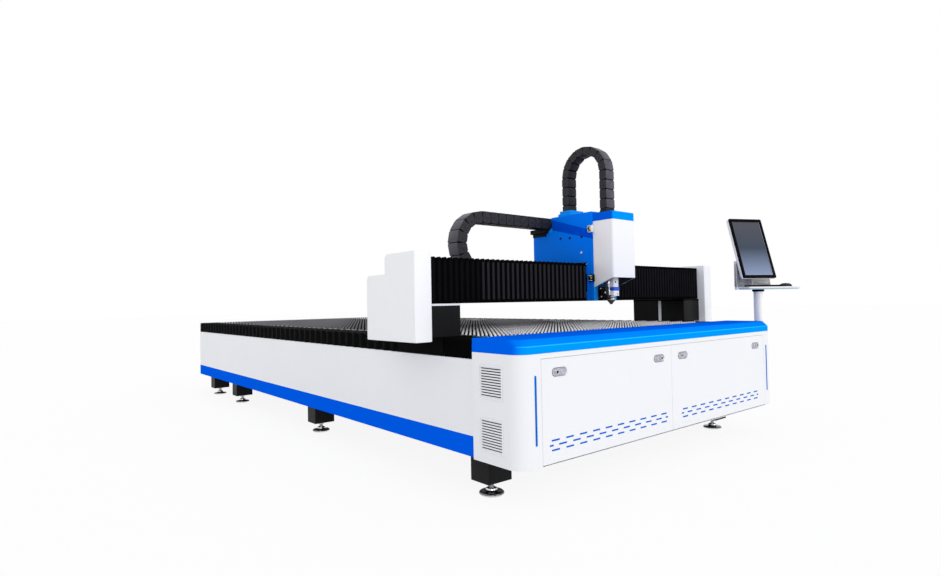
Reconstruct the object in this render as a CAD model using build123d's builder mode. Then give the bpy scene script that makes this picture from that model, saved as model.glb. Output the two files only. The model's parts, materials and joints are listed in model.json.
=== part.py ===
from build123d import *
import os
from math import cos, pi, radians, sin

os.makedirs("parts", exist_ok=True)

# A flat-bed fiber laser cutting machine, in millimetres.
# The origin is the centre of the front left foot's sole, X runs to the operator's right,
# Y runs back along the bed and Z is up from the floor.

# Driving dimensions: the front cabinet and its hood
CABINET_WIDTH = 2350.0
CABINET_DEPTH = 305.0
CABINET_HEIGHT = 482.0
CABINET_CORNER = 70.0
CABINET_SHEET = 3.0
GROUND_CLEARANCE = 172.0
HOOD_BAND = 33.0
HOOD_SLOPE_RISE = 30.0
HOOD_SLOPE_ANGLE = 46.0
HOOD_SHEET = 3.0

# Driving dimensions: the cabinet's doors, locks, accent strips and side vents
DOOR_MARGIN = 128.0
DOOR_SPLIT = 1130.0
DOOR_TOP_MARGIN = 24.0
DOOR_GAP = 1.5
DOOR_BOTTOM_GAP = 4.0
DOOR_SHEET = 2.0
DOOR_RETURN = 18.0
POST_WIDTH = 40.0
POST_DEPTH = 20.0
POST_REACH = 20.0
TOP_FLANGE = 40.0
DASH_LENGTH = 52.0
DASH_HEIGHT = 8.0
DASH_MARGIN = 55.375
DASH_COUNT = 10
DASH_ROWS = 3
DASH_ROW_PITCH = 21.0
DASH_LOWEST = 62.0
LOCK_LENGTH = 93.0
LOCK_HEIGHT = 35.0
LOCK_THICKNESS = 3.0
LOCK_INSET = 114.0
LOCK_DROP = 62.0
BARREL_RADIUS = 10.0
BARREL_PROUD = 4.0
BARREL_OFFSET = 18.0
STRIP_WIDTH = 11.0
STRIP_HEIGHT = 297.0
STRIP_THICKNESS = 1.5
STRIP_INSET = 92.0
STRIP_BOTTOM = 95.0
VENT_WIDTH = 130.0
VENT_CENTRE = 180.0
VENT_SLOT = 5.0
VENT_PITCH = 11.8
VENT_SLOTS = 11
VENT_HEIGHTS = (124.0, 356.0)
HINGE_PIN_RADIUS = 4.0
HINGE_INSET = 9.0
HINGE_EDGE = 60.0
HINGE_ARM = 20.0
HINGE_EAR = 6.0
HINGE_PLAY = 1.0
BACKING_THICKNESS = 1.5
BACKING_MARGIN = 18.0
TONGUE_LENGTH = 88.0
TONGUE_WIDTH = 14.0
TONGUE_THICKNESS = 3.0
TONGUE_PLAY = 2.0
LOCK_SHAFT_RADIUS = 5.0

# Driving dimensions: the bed
BED_LENGTH = 4581.0
BED_INSET = 20.0
SKIRT_HEIGHT = 97.0
PANEL_HEIGHT = 349.0
PANEL_SHEET = 2.0
RAIL_COVER_HEIGHT = 92.0
BEAM_TUBE_WIDTH = 150.0
BEAM_TUBE_WALL = 8.0
BEAM_TUBE_INSET = 28.0
BEAM_TUBE_TOP = 642.0
CROSS_TUBE = 80.0
CROSS_TUBES = 5
CROSS_TUBE_TOP = 400.0

# Driving dimensions: the pedestals and levelling feet
PEDESTAL_WIDTH = 140.0
PEDESTAL_DEPTH = 122.0
PEDESTAL_BOTTOM = 67.0
FRONT_ROWS = (0.0, 1793.0)
REAR_ROWS = (1140.0, 458.0)
FOOT_SPACING = 1990.0
FOOT_INSET = 70.0
FOOT_BACK = 290.0
FOOT_RADIUS = 52.0
FOOT_RIM = 9.0
FOOT_DOME = 26.0
STEM_RADIUS = 11.0
NUT_RADIUS = 22.0
NUT_HEIGHT = 15.0
SHAFT_CLEARANCE = 0.05
TIE_TUBE_BOTTOM = 118.0
TIE_TUBE_HEIGHT = 52.0
TIE_TUBE_DEPTH = 60.0

# Driving dimensions: the slat table
TABLE_FRAME_WALL = 12.0
TABLE_FRAME_TOP = 708.0
TABLE_FRONT_GAP = 8.0
TABLE_REAR_GAP = 76.0
SLAT_LEDGE = 30.0
SLAT_BOTTOM = 632.0
SLAT_ROOT = 692.0
SLAT_TIP = 717.0
SLAT_THICKNESS = 5.0
SLAT_COUNT = 44
SLAT_TEETH = 12
SLAT_END_GAP = 1.0
TRAY_SHEET = 3.0
TRAY_DEPTH = 120.0

# Driving dimensions: rails and racks under the rail bellows
RAIL_LINE = 86.0
RAIL_WIDTH = 28.0
RAIL_HEIGHT = 25.0
RACK_OFFSET = 45.0
RACK_SIZE = 24.0
PINION_RADIUS = 14.0
PINION_HEIGHT = 30.0
RAIL_BELLOWS_WIDTH = 180.0
RAIL_BELLOWS_FOLD = 9.0
RAIL_BELLOWS_WALL = 4.0
FRONT_FOLDS = 9
REAR_FOLDS = 44
SEAT_GAP = 0.3

# Driving dimensions: the gantry
GANTRY_FRONT = 554.0
GANTRY_DEPTH = 429.0
GANTRY_END = 74.0
LEG_WIDTH = 208.0
LEG_BOTTOM = 712.0
LEG_TOP = 864.0
LEG_PLATE = 10.0
LEG_WALL = 8.0
LEG_SPLIT = 186.0
LEG_STRIP = 24.0
SADDLE_WIDTH = 180.0
SADDLE_PLATE = 22.0
SADDLE_FLANGE = 4.0
SADDLE_LEAD = 9.0
SADDLE_LENGTH = 413.0
BLOCK_LENGTH = 110.0
BLOCK_WIDTH = 62.0
BLOCK_LIFT = 6.0
BLOCK_PLAY = 0.3
GIRDER_SETBACK = 46.0
GIRDER_DEPTH = 190.0
GIRDER_TOP = 1099.0
GIRDER_WALL = 8.0
GIRDER_RAIL_WIDTH = 23.0
GIRDER_RAIL_HEIGHT = 20.0
GIRDER_RAIL_INSET = 34.0
BEAM_BELLOWS_DEPTH = 20.0
BEAM_BELLOWS_FOLD = 13.0
BEAM_BELLOWS_BOTTOM = 877.0
BEAM_BELLOWS_TOP = 1105.0
BEAM_FOLDS = 34
COVER_WIDTH = 97.0
COVER_SHEET = 3.0
COVER_FRONT = 504.0
COVER_LENGTH = 448.0
COVER_TALL_LENGTH = 268.0
COVER_BOTTOM = 694.0
COVER_TOP = 1124.0
COVER_LOW_TOP = 1025.0
MOTOR_SIZE = 80.0
MOTOR_HEIGHT = 120.0
MOTOR_BACK = 130.0

# Driving dimensions: the carriage
CARRIAGE_LEFT = 1131.0
CARRIAGE_WIDTH = 218.0
CARRIAGE_FRONT = 505.0
CARRIAGE_BACK = 1004.0
CARRIAGE_STEP = 832.0
CARRIAGE_BOTTOM = 876.0
CARRIAGE_SHELF = 1112.0
CARRIAGE_LOW_TOP = 1322.0
CARRIAGE_TOP = 1416.0
CARRIAGE_SHEET = 6.0
CARRIAGE_COLUMN = 33.0
CARRIAGE_PLATE = 20.0
CARRIAGE_BLOCK = 80.0
CARRIAGE_BLOCK_WIDTH = 48.0
X_MOTOR_SIZE = 76.0
X_MOTOR_HEIGHT = 150.0
X_SHELF = 12.0
X_SHELF_BACK = 640.0
X_RACK_SIZE = 20.0
BRACKET_FRONT = 888.0
BRACKET_DROP = 19.0
BRACKET_REACH = 30.0
CONNECTOR_HEIGHTS = (1012.0, 1312.0)
CONNECTOR_RADIUS = 9.0
CONNECTOR_LENGTH = 20.0
CONNECTOR_BACK = 512.0

# Driving dimensions: the Z unit and the cutting head
Z_COVER_DEPTH = 146.0
Z_COVER_SHEET = 3.0
Z_COVER_BOTTOM = 1010.0
Z_COVER_DROP = 55.0
Z_COVER_TOP = 1356.0
Z_CAP_HEIGHT = 48.0
Z_CORNER = 14.0
Z_GAP = 1.0
Z_RAIL = 15.0
Z_RAIL_SPACING = 120.0
Z_RAIL_BOTTOM = 960.0
Z_RAIL_TOP = 1340.0
Z_SLIDE_THICKNESS = 14.0
Z_SLIDE_BOTTOM = 985.0
Z_SLIDE_TOP = 1200.0
Z_BLOCK = 34.0
Z_ARM = 60.0
HEAD_X = 1200.0
HEAD_Y = 443.0
HEAD_WIDTH = 66.0
HEAD_DEPTH = 62.0
HEAD_TOP = 1120.0
HEAD_BOTTOM = 901.0
RING_TOP = 953.0
RING_BOTTOM = 933.0
RING_PROUD = 3.0
NOZZLE_TIP = 851.0
NOZZLE_RADIUS = 26.0
NOZZLE_TIP_RADIUS = 4.0

# Driving dimensions: the two cable chains
BEAM_CHAIN_RADIUS = 161.0
BEAM_CHAIN_THICKNESS = 70.0
BEAM_CHAIN_WIDTH = 97.0
BEAM_CHAIN_LINKS = (11, 8, 9)
BEAM_CHAIN_FRONT = 868.0
BEAM_CHAIN_BEND = 582.0
BEAM_CHAIN_TOP = 1419.0
HEAD_CHAIN_RADIUS = 147.5
HEAD_CHAIN_THICKNESS = 50.0
HEAD_CHAIN_WIDTH = 82.0
HEAD_CHAIN_LINKS = (4, 8, 4)
HEAD_CHAIN_LEFT = 1149.0
HEAD_CHAIN_FRONT = 414.0
HEAD_CHAIN_TOP = 1832.0
CHAIN_WALL = 7.0
CHAIN_GAP = 0.2
TROUGH_SHEET = 3.0
TROUGH_LIP = 30.0
TROUGH_MARGIN = 10.0
TROUGH_LEFT = -20.0

# Driving dimensions: the operator console, set out along its own tray
POLE_STAND_OFF = 40.0
POLE_BACK = 97.0
POLE_RADIUS = 30.0
POLE_WALL = 3.0
POLE_BOTTOM = 420.0
POLE_TOP = 917.0
COLLAR_RADIUS = 38.0
COLLAR_HEIGHT = 14.0
CONSOLE_TURN = -24.3
TRAY_TOP_THICKNESS = 18.0
CONSOLE_LEFT = -148.0
CONSOLE_RIGHT = 268.0
CONSOLE_REAR = -36.0
CONSOLE_FRONT = 92.0
KEYBOARD_LENGTH = 270.0
KEYBOARD_DEPTH = 76.0
KEYBOARD_THICKNESS = 12.0
MOUSE_LENGTH = 88.0
MOUSE_WIDTH = 50.0
MOUSE_HEIGHT = 24.0
KEYBOARD_PLACE = (6.0, 53.0)
MOUSE_PLACE = (206.0, 40.0)
MONITOR_WIDTH = 266.0
MONITOR_HEIGHT = 414.0
MONITOR_DEPTH = 34.0
MONITOR_BEZEL = 13.0
MONITOR_TILT = 17.5
MONITOR_BOTTOM = 1016.0
MONITOR_LEFT = -178.0
MONITOR_FOOT = 72.0
SCREEN_THICKNESS = 4.0
BRACKET_PLATE = (-160.0, 25.0, 14.0, 38.0, 1128.0)
BRACKET_BOX = (-58.0, 93.0, -12.0, 14.0, 1022.0)
TILT_RADIUS = 12.0
TILT_PIN = 5.0
TILT_EAR = 14.0
TILT_LUG = 40.0
SPIGOT_LENGTH = 60.0
CLAMP_HEIGHTS = (450.0, 600.0)
CLAMP_HEIGHT = 30.0
CLAMP_WIDTH = 76.0

# Driving dimensions: what stands inside the cabinet, and the supply inlet
SOURCE_LEFT = 170.0
SOURCE_WIDTH = 760.0
SOURCE_DEPTH = 210.0
SOURCE_HEIGHT = 340.0
SOURCE_FRONT = 60.0
MOUNT_LEFT = 1190.0
MOUNT_WIDTH = 960.0
MOUNT_BOTTOM = 200.0
MOUNT_HEIGHT = 410.0
MOUNT_SHEET = 3.0
DRIVE_WIDTH = 90.0
DRIVE_HEIGHT = 200.0
DRIVE_DEPTH = 150.0
DRIVE_PITCH = 125.0
DRIVE_COUNT = 5
DUCT_SIZE = 50.0
GLAND_RADIUS = 26.0
GLAND_LENGTH = 34.0
GLAND_BORE = 13.0
GLAND_INSET = 150.0
GLAND_HEIGHT = 320.0

# Levels and lines that follow from the driving dimensions
cabinet_left = -(BED_INSET + FOOT_INSET)
cabinet_right = cabinet_left + CABINET_WIDTH
cabinet_front = -FOOT_BACK
cabinet_back = cabinet_front + CABINET_DEPTH
cabinet_bottom = GROUND_CLEARANCE
cabinet_top = cabinet_bottom + CABINET_HEIGHT
middle = cabinet_left + CABINET_WIDTH / 2
bed_rear = cabinet_back + BED_LENGTH
bed_half = CABINET_WIDTH / 2 - BED_INSET
bed_middle = (cabinet_back + bed_rear) / 2
panel_bottom = cabinet_bottom + SKIRT_HEIGHT
panel_top = panel_bottom + PANEL_HEIGHT
rail_cover_top = panel_top + RAIL_COVER_HEIGHT
rail_half = bed_half - RAIL_LINE


def from_front(distance):
    """The Y of a line that lies this far behind the cabinet's front face."""
    return cabinet_front + distance


def from_left(distance):
    """The X of a line that lies this far right of the cabinet's left face."""
    return cabinet_left + distance


def facing_front(y):
    """A sketch plane across the machine: its X is X, its Y is Z, and it extrudes backward by a minus."""
    return Plane.XZ.offset(-y)


# The welded bed: two box beams, cross tubes, bearers, pedestals and one low tie tube
beam_half = bed_half - BEAM_TUBE_INSET - BEAM_TUBE_WIDTH / 2
foot_rows = [*FRONT_ROWS, *(bed_rear - distance for distance in REAR_ROWS)]
foot_places = [(x, y) for x in (0.0, FOOT_SPACING) for y in foot_rows]
cross_span = 2 * beam_half - BEAM_TUBE_WIDTH
cross_pitch = (BED_LENGTH - 4 * CROSS_TUBE) / (CROSS_TUBES - 1)
with BuildPart() as bed_frame:
    with BuildSketch(facing_front(cabinet_back)):
        with Locations(*[(middle + side * beam_half, (cabinet_bottom + BEAM_TUBE_TOP) / 2)
                         for side in (-1, 1)]):
            Rectangle(BEAM_TUBE_WIDTH, BEAM_TUBE_TOP - cabinet_bottom)
            Rectangle(BEAM_TUBE_WIDTH - 2 * BEAM_TUBE_WALL,
                      BEAM_TUBE_TOP - cabinet_bottom - 2 * BEAM_TUBE_WALL, mode=Mode.SUBTRACT)
    extrude(amount=-(BED_LENGTH - PANEL_SHEET))
    with BuildSketch(Plane.YZ.offset(middle - cross_span / 2)):
        with Locations((bed_middle, CROSS_TUBE_TOP - CROSS_TUBE / 2)):
            with GridLocations(cross_pitch, CROSS_TUBE, CROSS_TUBES, 1):
                Rectangle(CROSS_TUBE, CROSS_TUBE)
    extrude(amount=cross_span)
    with BuildSketch(Plane.YZ.offset(middle - cross_span / 2)):
        bearer_rows = [max(row, cabinet_back + CROSS_TUBE / 2) for row in foot_rows]
        with Locations(*[(row, cabinet_bottom + CROSS_TUBE / 2) for row in bearer_rows]):
            Rectangle(CROSS_TUBE, CROSS_TUBE)
    extrude(amount=cross_span)
    with BuildSketch(Plane.XY.offset(PEDESTAL_BOTTOM)):
        with Locations(*foot_places):
            Rectangle(PEDESTAL_WIDTH, PEDESTAL_DEPTH)
    extrude(amount=cabinet_bottom - PEDESTAL_BOTTOM)
    with BuildSketch(Plane.YZ.offset(PEDESTAL_WIDTH / 2)):
        with Locations((FRONT_ROWS[1], TIE_TUBE_BOTTOM + TIE_TUBE_HEIGHT / 2)):
            Rectangle(TIE_TUBE_DEPTH, TIE_TUBE_HEIGHT)
    extrude(amount=FOOT_SPACING - PEDESTAL_WIDTH)
bed_frame.part.label = "bed_frame"
export_step(bed_frame.part, "parts/bed_frame.step")

# One levelling foot, turned from a rim, a dome and a stem, and set at each pedestal
with BuildPart() as foot:
    with BuildSketch(Plane.XZ):
        with BuildLine():
            Polyline((0, 0), (FOOT_RADIUS, 0), (FOOT_RADIUS, FOOT_RIM))
            Line((FOOT_RADIUS, FOOT_RIM), (2 * STEM_RADIUS, FOOT_DOME))
            Polyline((2 * STEM_RADIUS, FOOT_DOME), (STEM_RADIUS, FOOT_DOME + STEM_RADIUS),
                     (STEM_RADIUS, PEDESTAL_BOTTOM), (0, PEDESTAL_BOTTOM), (0, 0))
        make_face()
    revolve(axis=Axis.Z)
with BuildPart() as levelling_feet:
    with Locations(*foot_places):
        add(foot.part)
levelling_feet.part.label = "levelling_feet"
export_step(levelling_feet.part, "parts/levelling_feet.step")

# The lock nuts that clamp the stems against the pedestals
with BuildPart() as foot_nuts:
    with BuildSketch(Plane.XY.offset(PEDESTAL_BOTTOM - NUT_HEIGHT)):
        with Locations(*foot_places):
            RegularPolygon(NUT_RADIUS, 6)
            Circle(STEM_RADIUS + SHAFT_CLEARANCE, mode=Mode.SUBTRACT)
    extrude(amount=NUT_HEIGHT)
foot_nuts.part.label = "foot_nuts"
export_step(foot_nuts.part, "parts/foot_nuts.step")


def side_sheet(side, bottom, top):
    """Sketch a folded side sheet: an upright wall with a return to the box beam at each edge."""
    outer = middle + side * bed_half
    inner = middle + side * (bed_half - BEAM_TUBE_INSET)
    with Locations(((outer + inner) / 2, (bottom + top) / 2)):
        Rectangle(BEAM_TUBE_INSET, top - bottom)
    with Locations(((outer + inner) / 2 - side * PANEL_SHEET, (bottom + top) / 2)):
        Rectangle(BEAM_TUBE_INSET, top - bottom - 2 * PANEL_SHEET, mode=Mode.SUBTRACT)


# The white side panels
with BuildPart() as side_panels:
    with BuildSketch(facing_front(cabinet_back)):
        for side in (-1, 1):
            side_sheet(side, panel_bottom, panel_top)
    extrude(amount=-(BED_LENGTH - PANEL_SHEET))
side_panels.part.label = "side_panels"
export_step(side_panels.part, "parts/side_panels.step")

# The blue skirts under the side panels and across the rear
rear_edge = bed_rear - PANEL_SHEET
with BuildPart() as skirts:
    with BuildSketch(facing_front(cabinet_back)):
        for side in (-1, 1):
            side_sheet(side, cabinet_bottom, panel_bottom)
    extrude(amount=-(BED_LENGTH - PANEL_SHEET))
    with BuildSketch(facing_front(rear_edge)):
        with Locations((middle, (cabinet_bottom + panel_bottom) / 2)):
            Rectangle(2 * bed_half, SKIRT_HEIGHT)
    extrude(amount=-PANEL_SHEET)
skirts.part.label = "skirts"
export_step(skirts.part, "parts/skirts.step")

# The white rear panel, folded forward along its top edge behind the slat table
table_half = bed_half - BEAM_TUBE_INSET - BEAM_TUBE_WIDTH
table_front = cabinet_back + TABLE_FRONT_GAP
table_rear = bed_rear - TABLE_REAR_GAP
rear_panel_top = rail_cover_top + PANEL_SHEET
with BuildPart() as rear_panel:
    with BuildSketch(facing_front(rear_edge)):
        with Locations((middle, (panel_bottom + rear_panel_top) / 2)):
            Rectangle(2 * bed_half, rear_panel_top - panel_bottom)
    extrude(amount=-PANEL_SHEET)
    with BuildSketch(Plane.XY.offset(rail_cover_top)):
        with Locations((middle, (table_rear + rear_edge) / 2)):
            Rectangle(2 * table_half, rear_edge - table_rear)
    extrude(amount=PANEL_SHEET)
rear_panel.part.label = "rear_panel"
export_step(rear_panel.part, "parts/rear_panel.step")

# The hardened guide rails on the box beams, with the gear racks beside them
rail_waist = RAIL_WIDTH / 8
with BuildPart() as guide_rails:
    with BuildSketch(facing_front(cabinet_back)):
        for side in (-1, 1):
            with Locations((middle + side * rail_half, BEAM_TUBE_TOP + RAIL_HEIGHT / 2)):
                Rectangle(RAIL_WIDTH, RAIL_HEIGHT)
                with GridLocations(RAIL_WIDTH, 0, 2, 1):
                    Rectangle(2 * rail_waist, RAIL_HEIGHT / 3, mode=Mode.SUBTRACT)
        for side in (-1, 1):
            with Locations((middle + side * (rail_half + RACK_OFFSET), BEAM_TUBE_TOP + RACK_SIZE / 2)):
                Rectangle(RACK_SIZE, RACK_SIZE)
    extrude(amount=-(BED_LENGTH - PANEL_SHEET))
guide_rails.part.label = "guide_rails"
export_step(guide_rails.part, "parts/guide_rails.step")

# The white table frame: four upright walls with a ledge along each side for the slats
table_inner_half = table_half - TABLE_FRAME_WALL
table_length = table_rear - table_front
table_middle = (table_front + table_rear) / 2
with BuildPart() as table_frame:
    with BuildSketch(Plane.XY.offset(CROSS_TUBE_TOP)):
        with Locations((middle, table_middle)):
            Rectangle(2 * table_half, table_length)
            Rectangle(2 * table_inner_half, table_length - 2 * TABLE_FRAME_WALL, mode=Mode.SUBTRACT)
    extrude(amount=TABLE_FRAME_TOP - CROSS_TUBE_TOP)
    with BuildSketch(facing_front(table_front)):
        for side in (-1, 1):
            with Locations((middle + side * (table_inner_half - SLAT_LEDGE / 2),
                            SLAT_BOTTOM - TABLE_FRAME_WALL / 2)):
                Rectangle(SLAT_LEDGE, TABLE_FRAME_WALL)
    extrude(amount=-table_length)
table_frame.part.label = "table_frame"
export_step(table_frame.part, "parts/table_frame.step")

# One toothed slat, repeated along the table
slat_half = table_inner_half - SLAT_END_GAP
tooth_pitch = 2 * slat_half / SLAT_TEETH
slat_pitch = (table_length - 2 * TABLE_FRAME_WALL) / (SLAT_COUNT + 1)
with BuildPart() as slat:
    with BuildSketch(Plane.XZ):
        with BuildLine():
            outline = [(-slat_half, SLAT_BOTTOM), (-slat_half, SLAT_ROOT)]
            for tooth in range(SLAT_TEETH):
                outline.append((-slat_half + (tooth + 0.5) * tooth_pitch, SLAT_TIP))
                outline.append((-slat_half + (tooth + 1.0) * tooth_pitch, SLAT_ROOT))
            Polyline(*outline, (slat_half, SLAT_BOTTOM), close=True)
        make_face()
    extrude(amount=SLAT_THICKNESS / 2, both=True)
first_slat = table_front + TABLE_FRAME_WALL + slat_pitch
with BuildPart() as slats:
    with Locations(*[(middle, first_slat + row * slat_pitch, 0) for row in range(SLAT_COUNT)]):
        add(slat.part)
slats.part.label = "slats"
export_step(slats.part, "parts/slats.step")

# The slag trays that stand on the cross tubes
tray_length = cross_pitch - 2 * PANEL_SHEET
tray_width = 2 * (table_inner_half - TRAY_SHEET)
with BuildPart() as slag_trays:
    with BuildSketch(Plane.XY.offset(CROSS_TUBE_TOP)):
        with Locations((middle, bed_middle)):
            with GridLocations(0, cross_pitch, 1, CROSS_TUBES - 1):
                Rectangle(tray_width, tray_length)
    extrude(amount=TRAY_DEPTH)
    with BuildSketch(Plane.XY.offset(CROSS_TUBE_TOP + TRAY_SHEET)):
        with Locations((middle, bed_middle)):
            with GridLocations(0, cross_pitch, 1, CROSS_TUBES - 1):
                Rectangle(tray_width - 2 * TRAY_SHEET, tray_length - 2 * TRAY_SHEET)
    extrude(amount=TRAY_DEPTH, mode=Mode.SUBTRACT)
slag_trays.part.label = "slag_trays"
export_step(slag_trays.part, "parts/slag_trays.step")


def cabinet_plan(inset, corner):
    """Sketch the cabinet's plan, rounded at the two front corners, inset from its outer faces."""
    with Locations((middle, (cabinet_front + cabinet_back) / 2)):
        plan = Rectangle(CABINET_WIDTH - 2 * inset, CABINET_DEPTH - 2 * inset)
    fillet(plan.vertices().group_by(Axis.Y)[0], corner)


# Lines that the doors share with the cabinet
door_sill = cabinet_bottom + CABINET_SHEET
door_top = cabinet_top - DOOR_TOP_MARGIN
door_bottom = door_sill + DOOR_BOTTOM_GAP
hinge_height = door_bottom + HINGE_INSET
hinge_line = cabinet_front + HINGE_INSET
opening_left = from_left(DOOR_MARGIN)
opening_right = cabinet_right - DOOR_MARGIN
split = from_left(DOOR_SPLIT)
door_spans = {
    "left": (opening_left + DOOR_GAP, split - DOOR_GAP / 2),
    "right": (split + DOOR_GAP / 2, opening_right - DOOR_GAP),
}
hinge_places = [x for span in door_spans.values() for x in (span[0] + HINGE_EDGE, span[1] - HINGE_EDGE)]
post_front = cabinet_front + DOOR_RETURN + DOOR_GAP
post_places = [opening_left + POST_REACH - POST_WIDTH / 2, split, opening_right - POST_REACH + POST_WIDTH / 2]
arm_radius = HINGE_INSET - DOOR_SHEET - HINGE_PLAY

# The front cabinet: a rounded sheet body with a flanged top, a door opening, posts, hinge arms and side vents
with BuildPart() as cabinet:
    with BuildSketch(Plane.XY.offset(cabinet_bottom)):
        cabinet_plan(0, CABINET_CORNER)
    extrude(amount=CABINET_HEIGHT)
    with BuildSketch(Plane.XY.offset(cabinet_bottom + CABINET_SHEET)):
        cabinet_plan(CABINET_SHEET, CABINET_CORNER - CABINET_SHEET)
    extrude(amount=CABINET_HEIGHT - 2 * CABINET_SHEET, mode=Mode.SUBTRACT)
    with BuildSketch(Plane.XY.offset(cabinet_top)):
        cabinet_plan(TOP_FLANGE, CABINET_CORNER - TOP_FLANGE)
    extrude(amount=-CABINET_SHEET, mode=Mode.SUBTRACT)
    with BuildSketch(facing_front(cabinet_front)):
        with Locations(((opening_left + opening_right) / 2, (door_sill + door_top + DOOR_GAP) / 2)):
            Rectangle(opening_right - opening_left, door_top + DOOR_GAP - door_sill)
    extrude(amount=-CABINET_SHEET, mode=Mode.SUBTRACT)
    with BuildSketch(Plane.XY.offset(door_sill)):
        with Locations(*[(x, post_front + POST_DEPTH / 2) for x in post_places]):
            Rectangle(POST_WIDTH, POST_DEPTH)
    extrude(amount=CABINET_HEIGHT - 2 * CABINET_SHEET)
    for x in hinge_places:
        with BuildSketch(Plane.YZ.offset(x - HINGE_ARM / 2)):
            with Locations((hinge_line, hinge_height)):
                Circle(arm_radius)
                Polygon((0, -HINGE_PIN_RADIUS), (HINGE_INSET + HINGE_PLAY, -HINGE_PIN_RADIUS),
                        (2 * HINGE_INSET, door_sill - hinge_height),
                        (3 * HINGE_INSET, door_sill - hinge_height), (0, arm_radius), align=None)
                Circle(HINGE_PIN_RADIUS + SHAFT_CLEARANCE, mode=Mode.SUBTRACT)
        extrude(amount=HINGE_ARM)
    with BuildSketch(Plane.YZ.offset(cabinet_left)):
        for height in VENT_HEIGHTS:
            with Locations((from_front(VENT_CENTRE), cabinet_bottom + height)):
                with GridLocations(0, VENT_PITCH, 1, VENT_SLOTS):
                    Rectangle(VENT_WIDTH, VENT_SLOT)
    extrude(amount=CABINET_WIDTH, mode=Mode.SUBTRACT)
cabinet.part.label = "cabinet"
export_step(cabinet.part, "parts/cabinet.step")

# The blue hood: an upright band below a slope on its front and ends, open underneath
with BuildPart() as hood:
    with BuildSketch(Plane.XY.offset(cabinet_top)):
        cabinet_plan(0, CABINET_CORNER)
    extrude(amount=HOOD_BAND)
    with BuildSketch(Plane.XY.offset(cabinet_top + HOOD_BAND)):
        cabinet_plan(0, CABINET_CORNER)
    extrude(amount=HOOD_SLOPE_RISE, taper=HOOD_SLOPE_ANGLE)
    with BuildSketch(facing_front(cabinet_back)):
        with Locations((middle, cabinet_top + HOOD_BAND + HOOD_SLOPE_RISE / 2)):
            Rectangle(CABINET_WIDTH - 2 * CABINET_CORNER, HOOD_SLOPE_RISE)
    extrude(amount=HOOD_SLOPE_RISE * 2)
    with BuildSketch(Plane.XY.offset(cabinet_top)):
        cabinet_plan(TOP_FLANGE, CABINET_CORNER - TOP_FLANGE)
    extrude(amount=HOOD_BAND + HOOD_SLOPE_RISE - HOOD_SHEET, mode=Mode.SUBTRACT)
hood.part.label = "hood"
export_step(hood.part, "parts/hood.step")

# The two blue accent strips on the cabinet's front
with BuildPart() as accent_strips:
    with BuildSketch(facing_front(cabinet_front)):
        for x in (from_left(STRIP_INSET), cabinet_right - STRIP_INSET):
            with Locations((x, cabinet_bottom + STRIP_BOTTOM + STRIP_HEIGHT / 2)):
                Rectangle(STRIP_WIDTH, STRIP_HEIGHT)
    extrude(amount=STRIP_THICKNESS)
accent_strips.part.label = "accent_strips"
export_step(accent_strips.part, "parts/accent_strips.step")

# The pins that the doors drop down on
pin_length = HINGE_ARM + 2 * (HINGE_EAR + HINGE_PLAY)
with BuildPart() as door_hinge_pins:
    for x in hinge_places:
        with BuildSketch(Plane.YZ.offset(x - pin_length / 2)):
            with Locations((hinge_line, hinge_height)):
                Circle(HINGE_PIN_RADIUS)
        extrude(amount=pin_length)
door_hinge_pins.part.label = "door_hinge_pins"
export_step(door_hinge_pins.part, "parts/door_hinge_pins.step")

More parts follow.
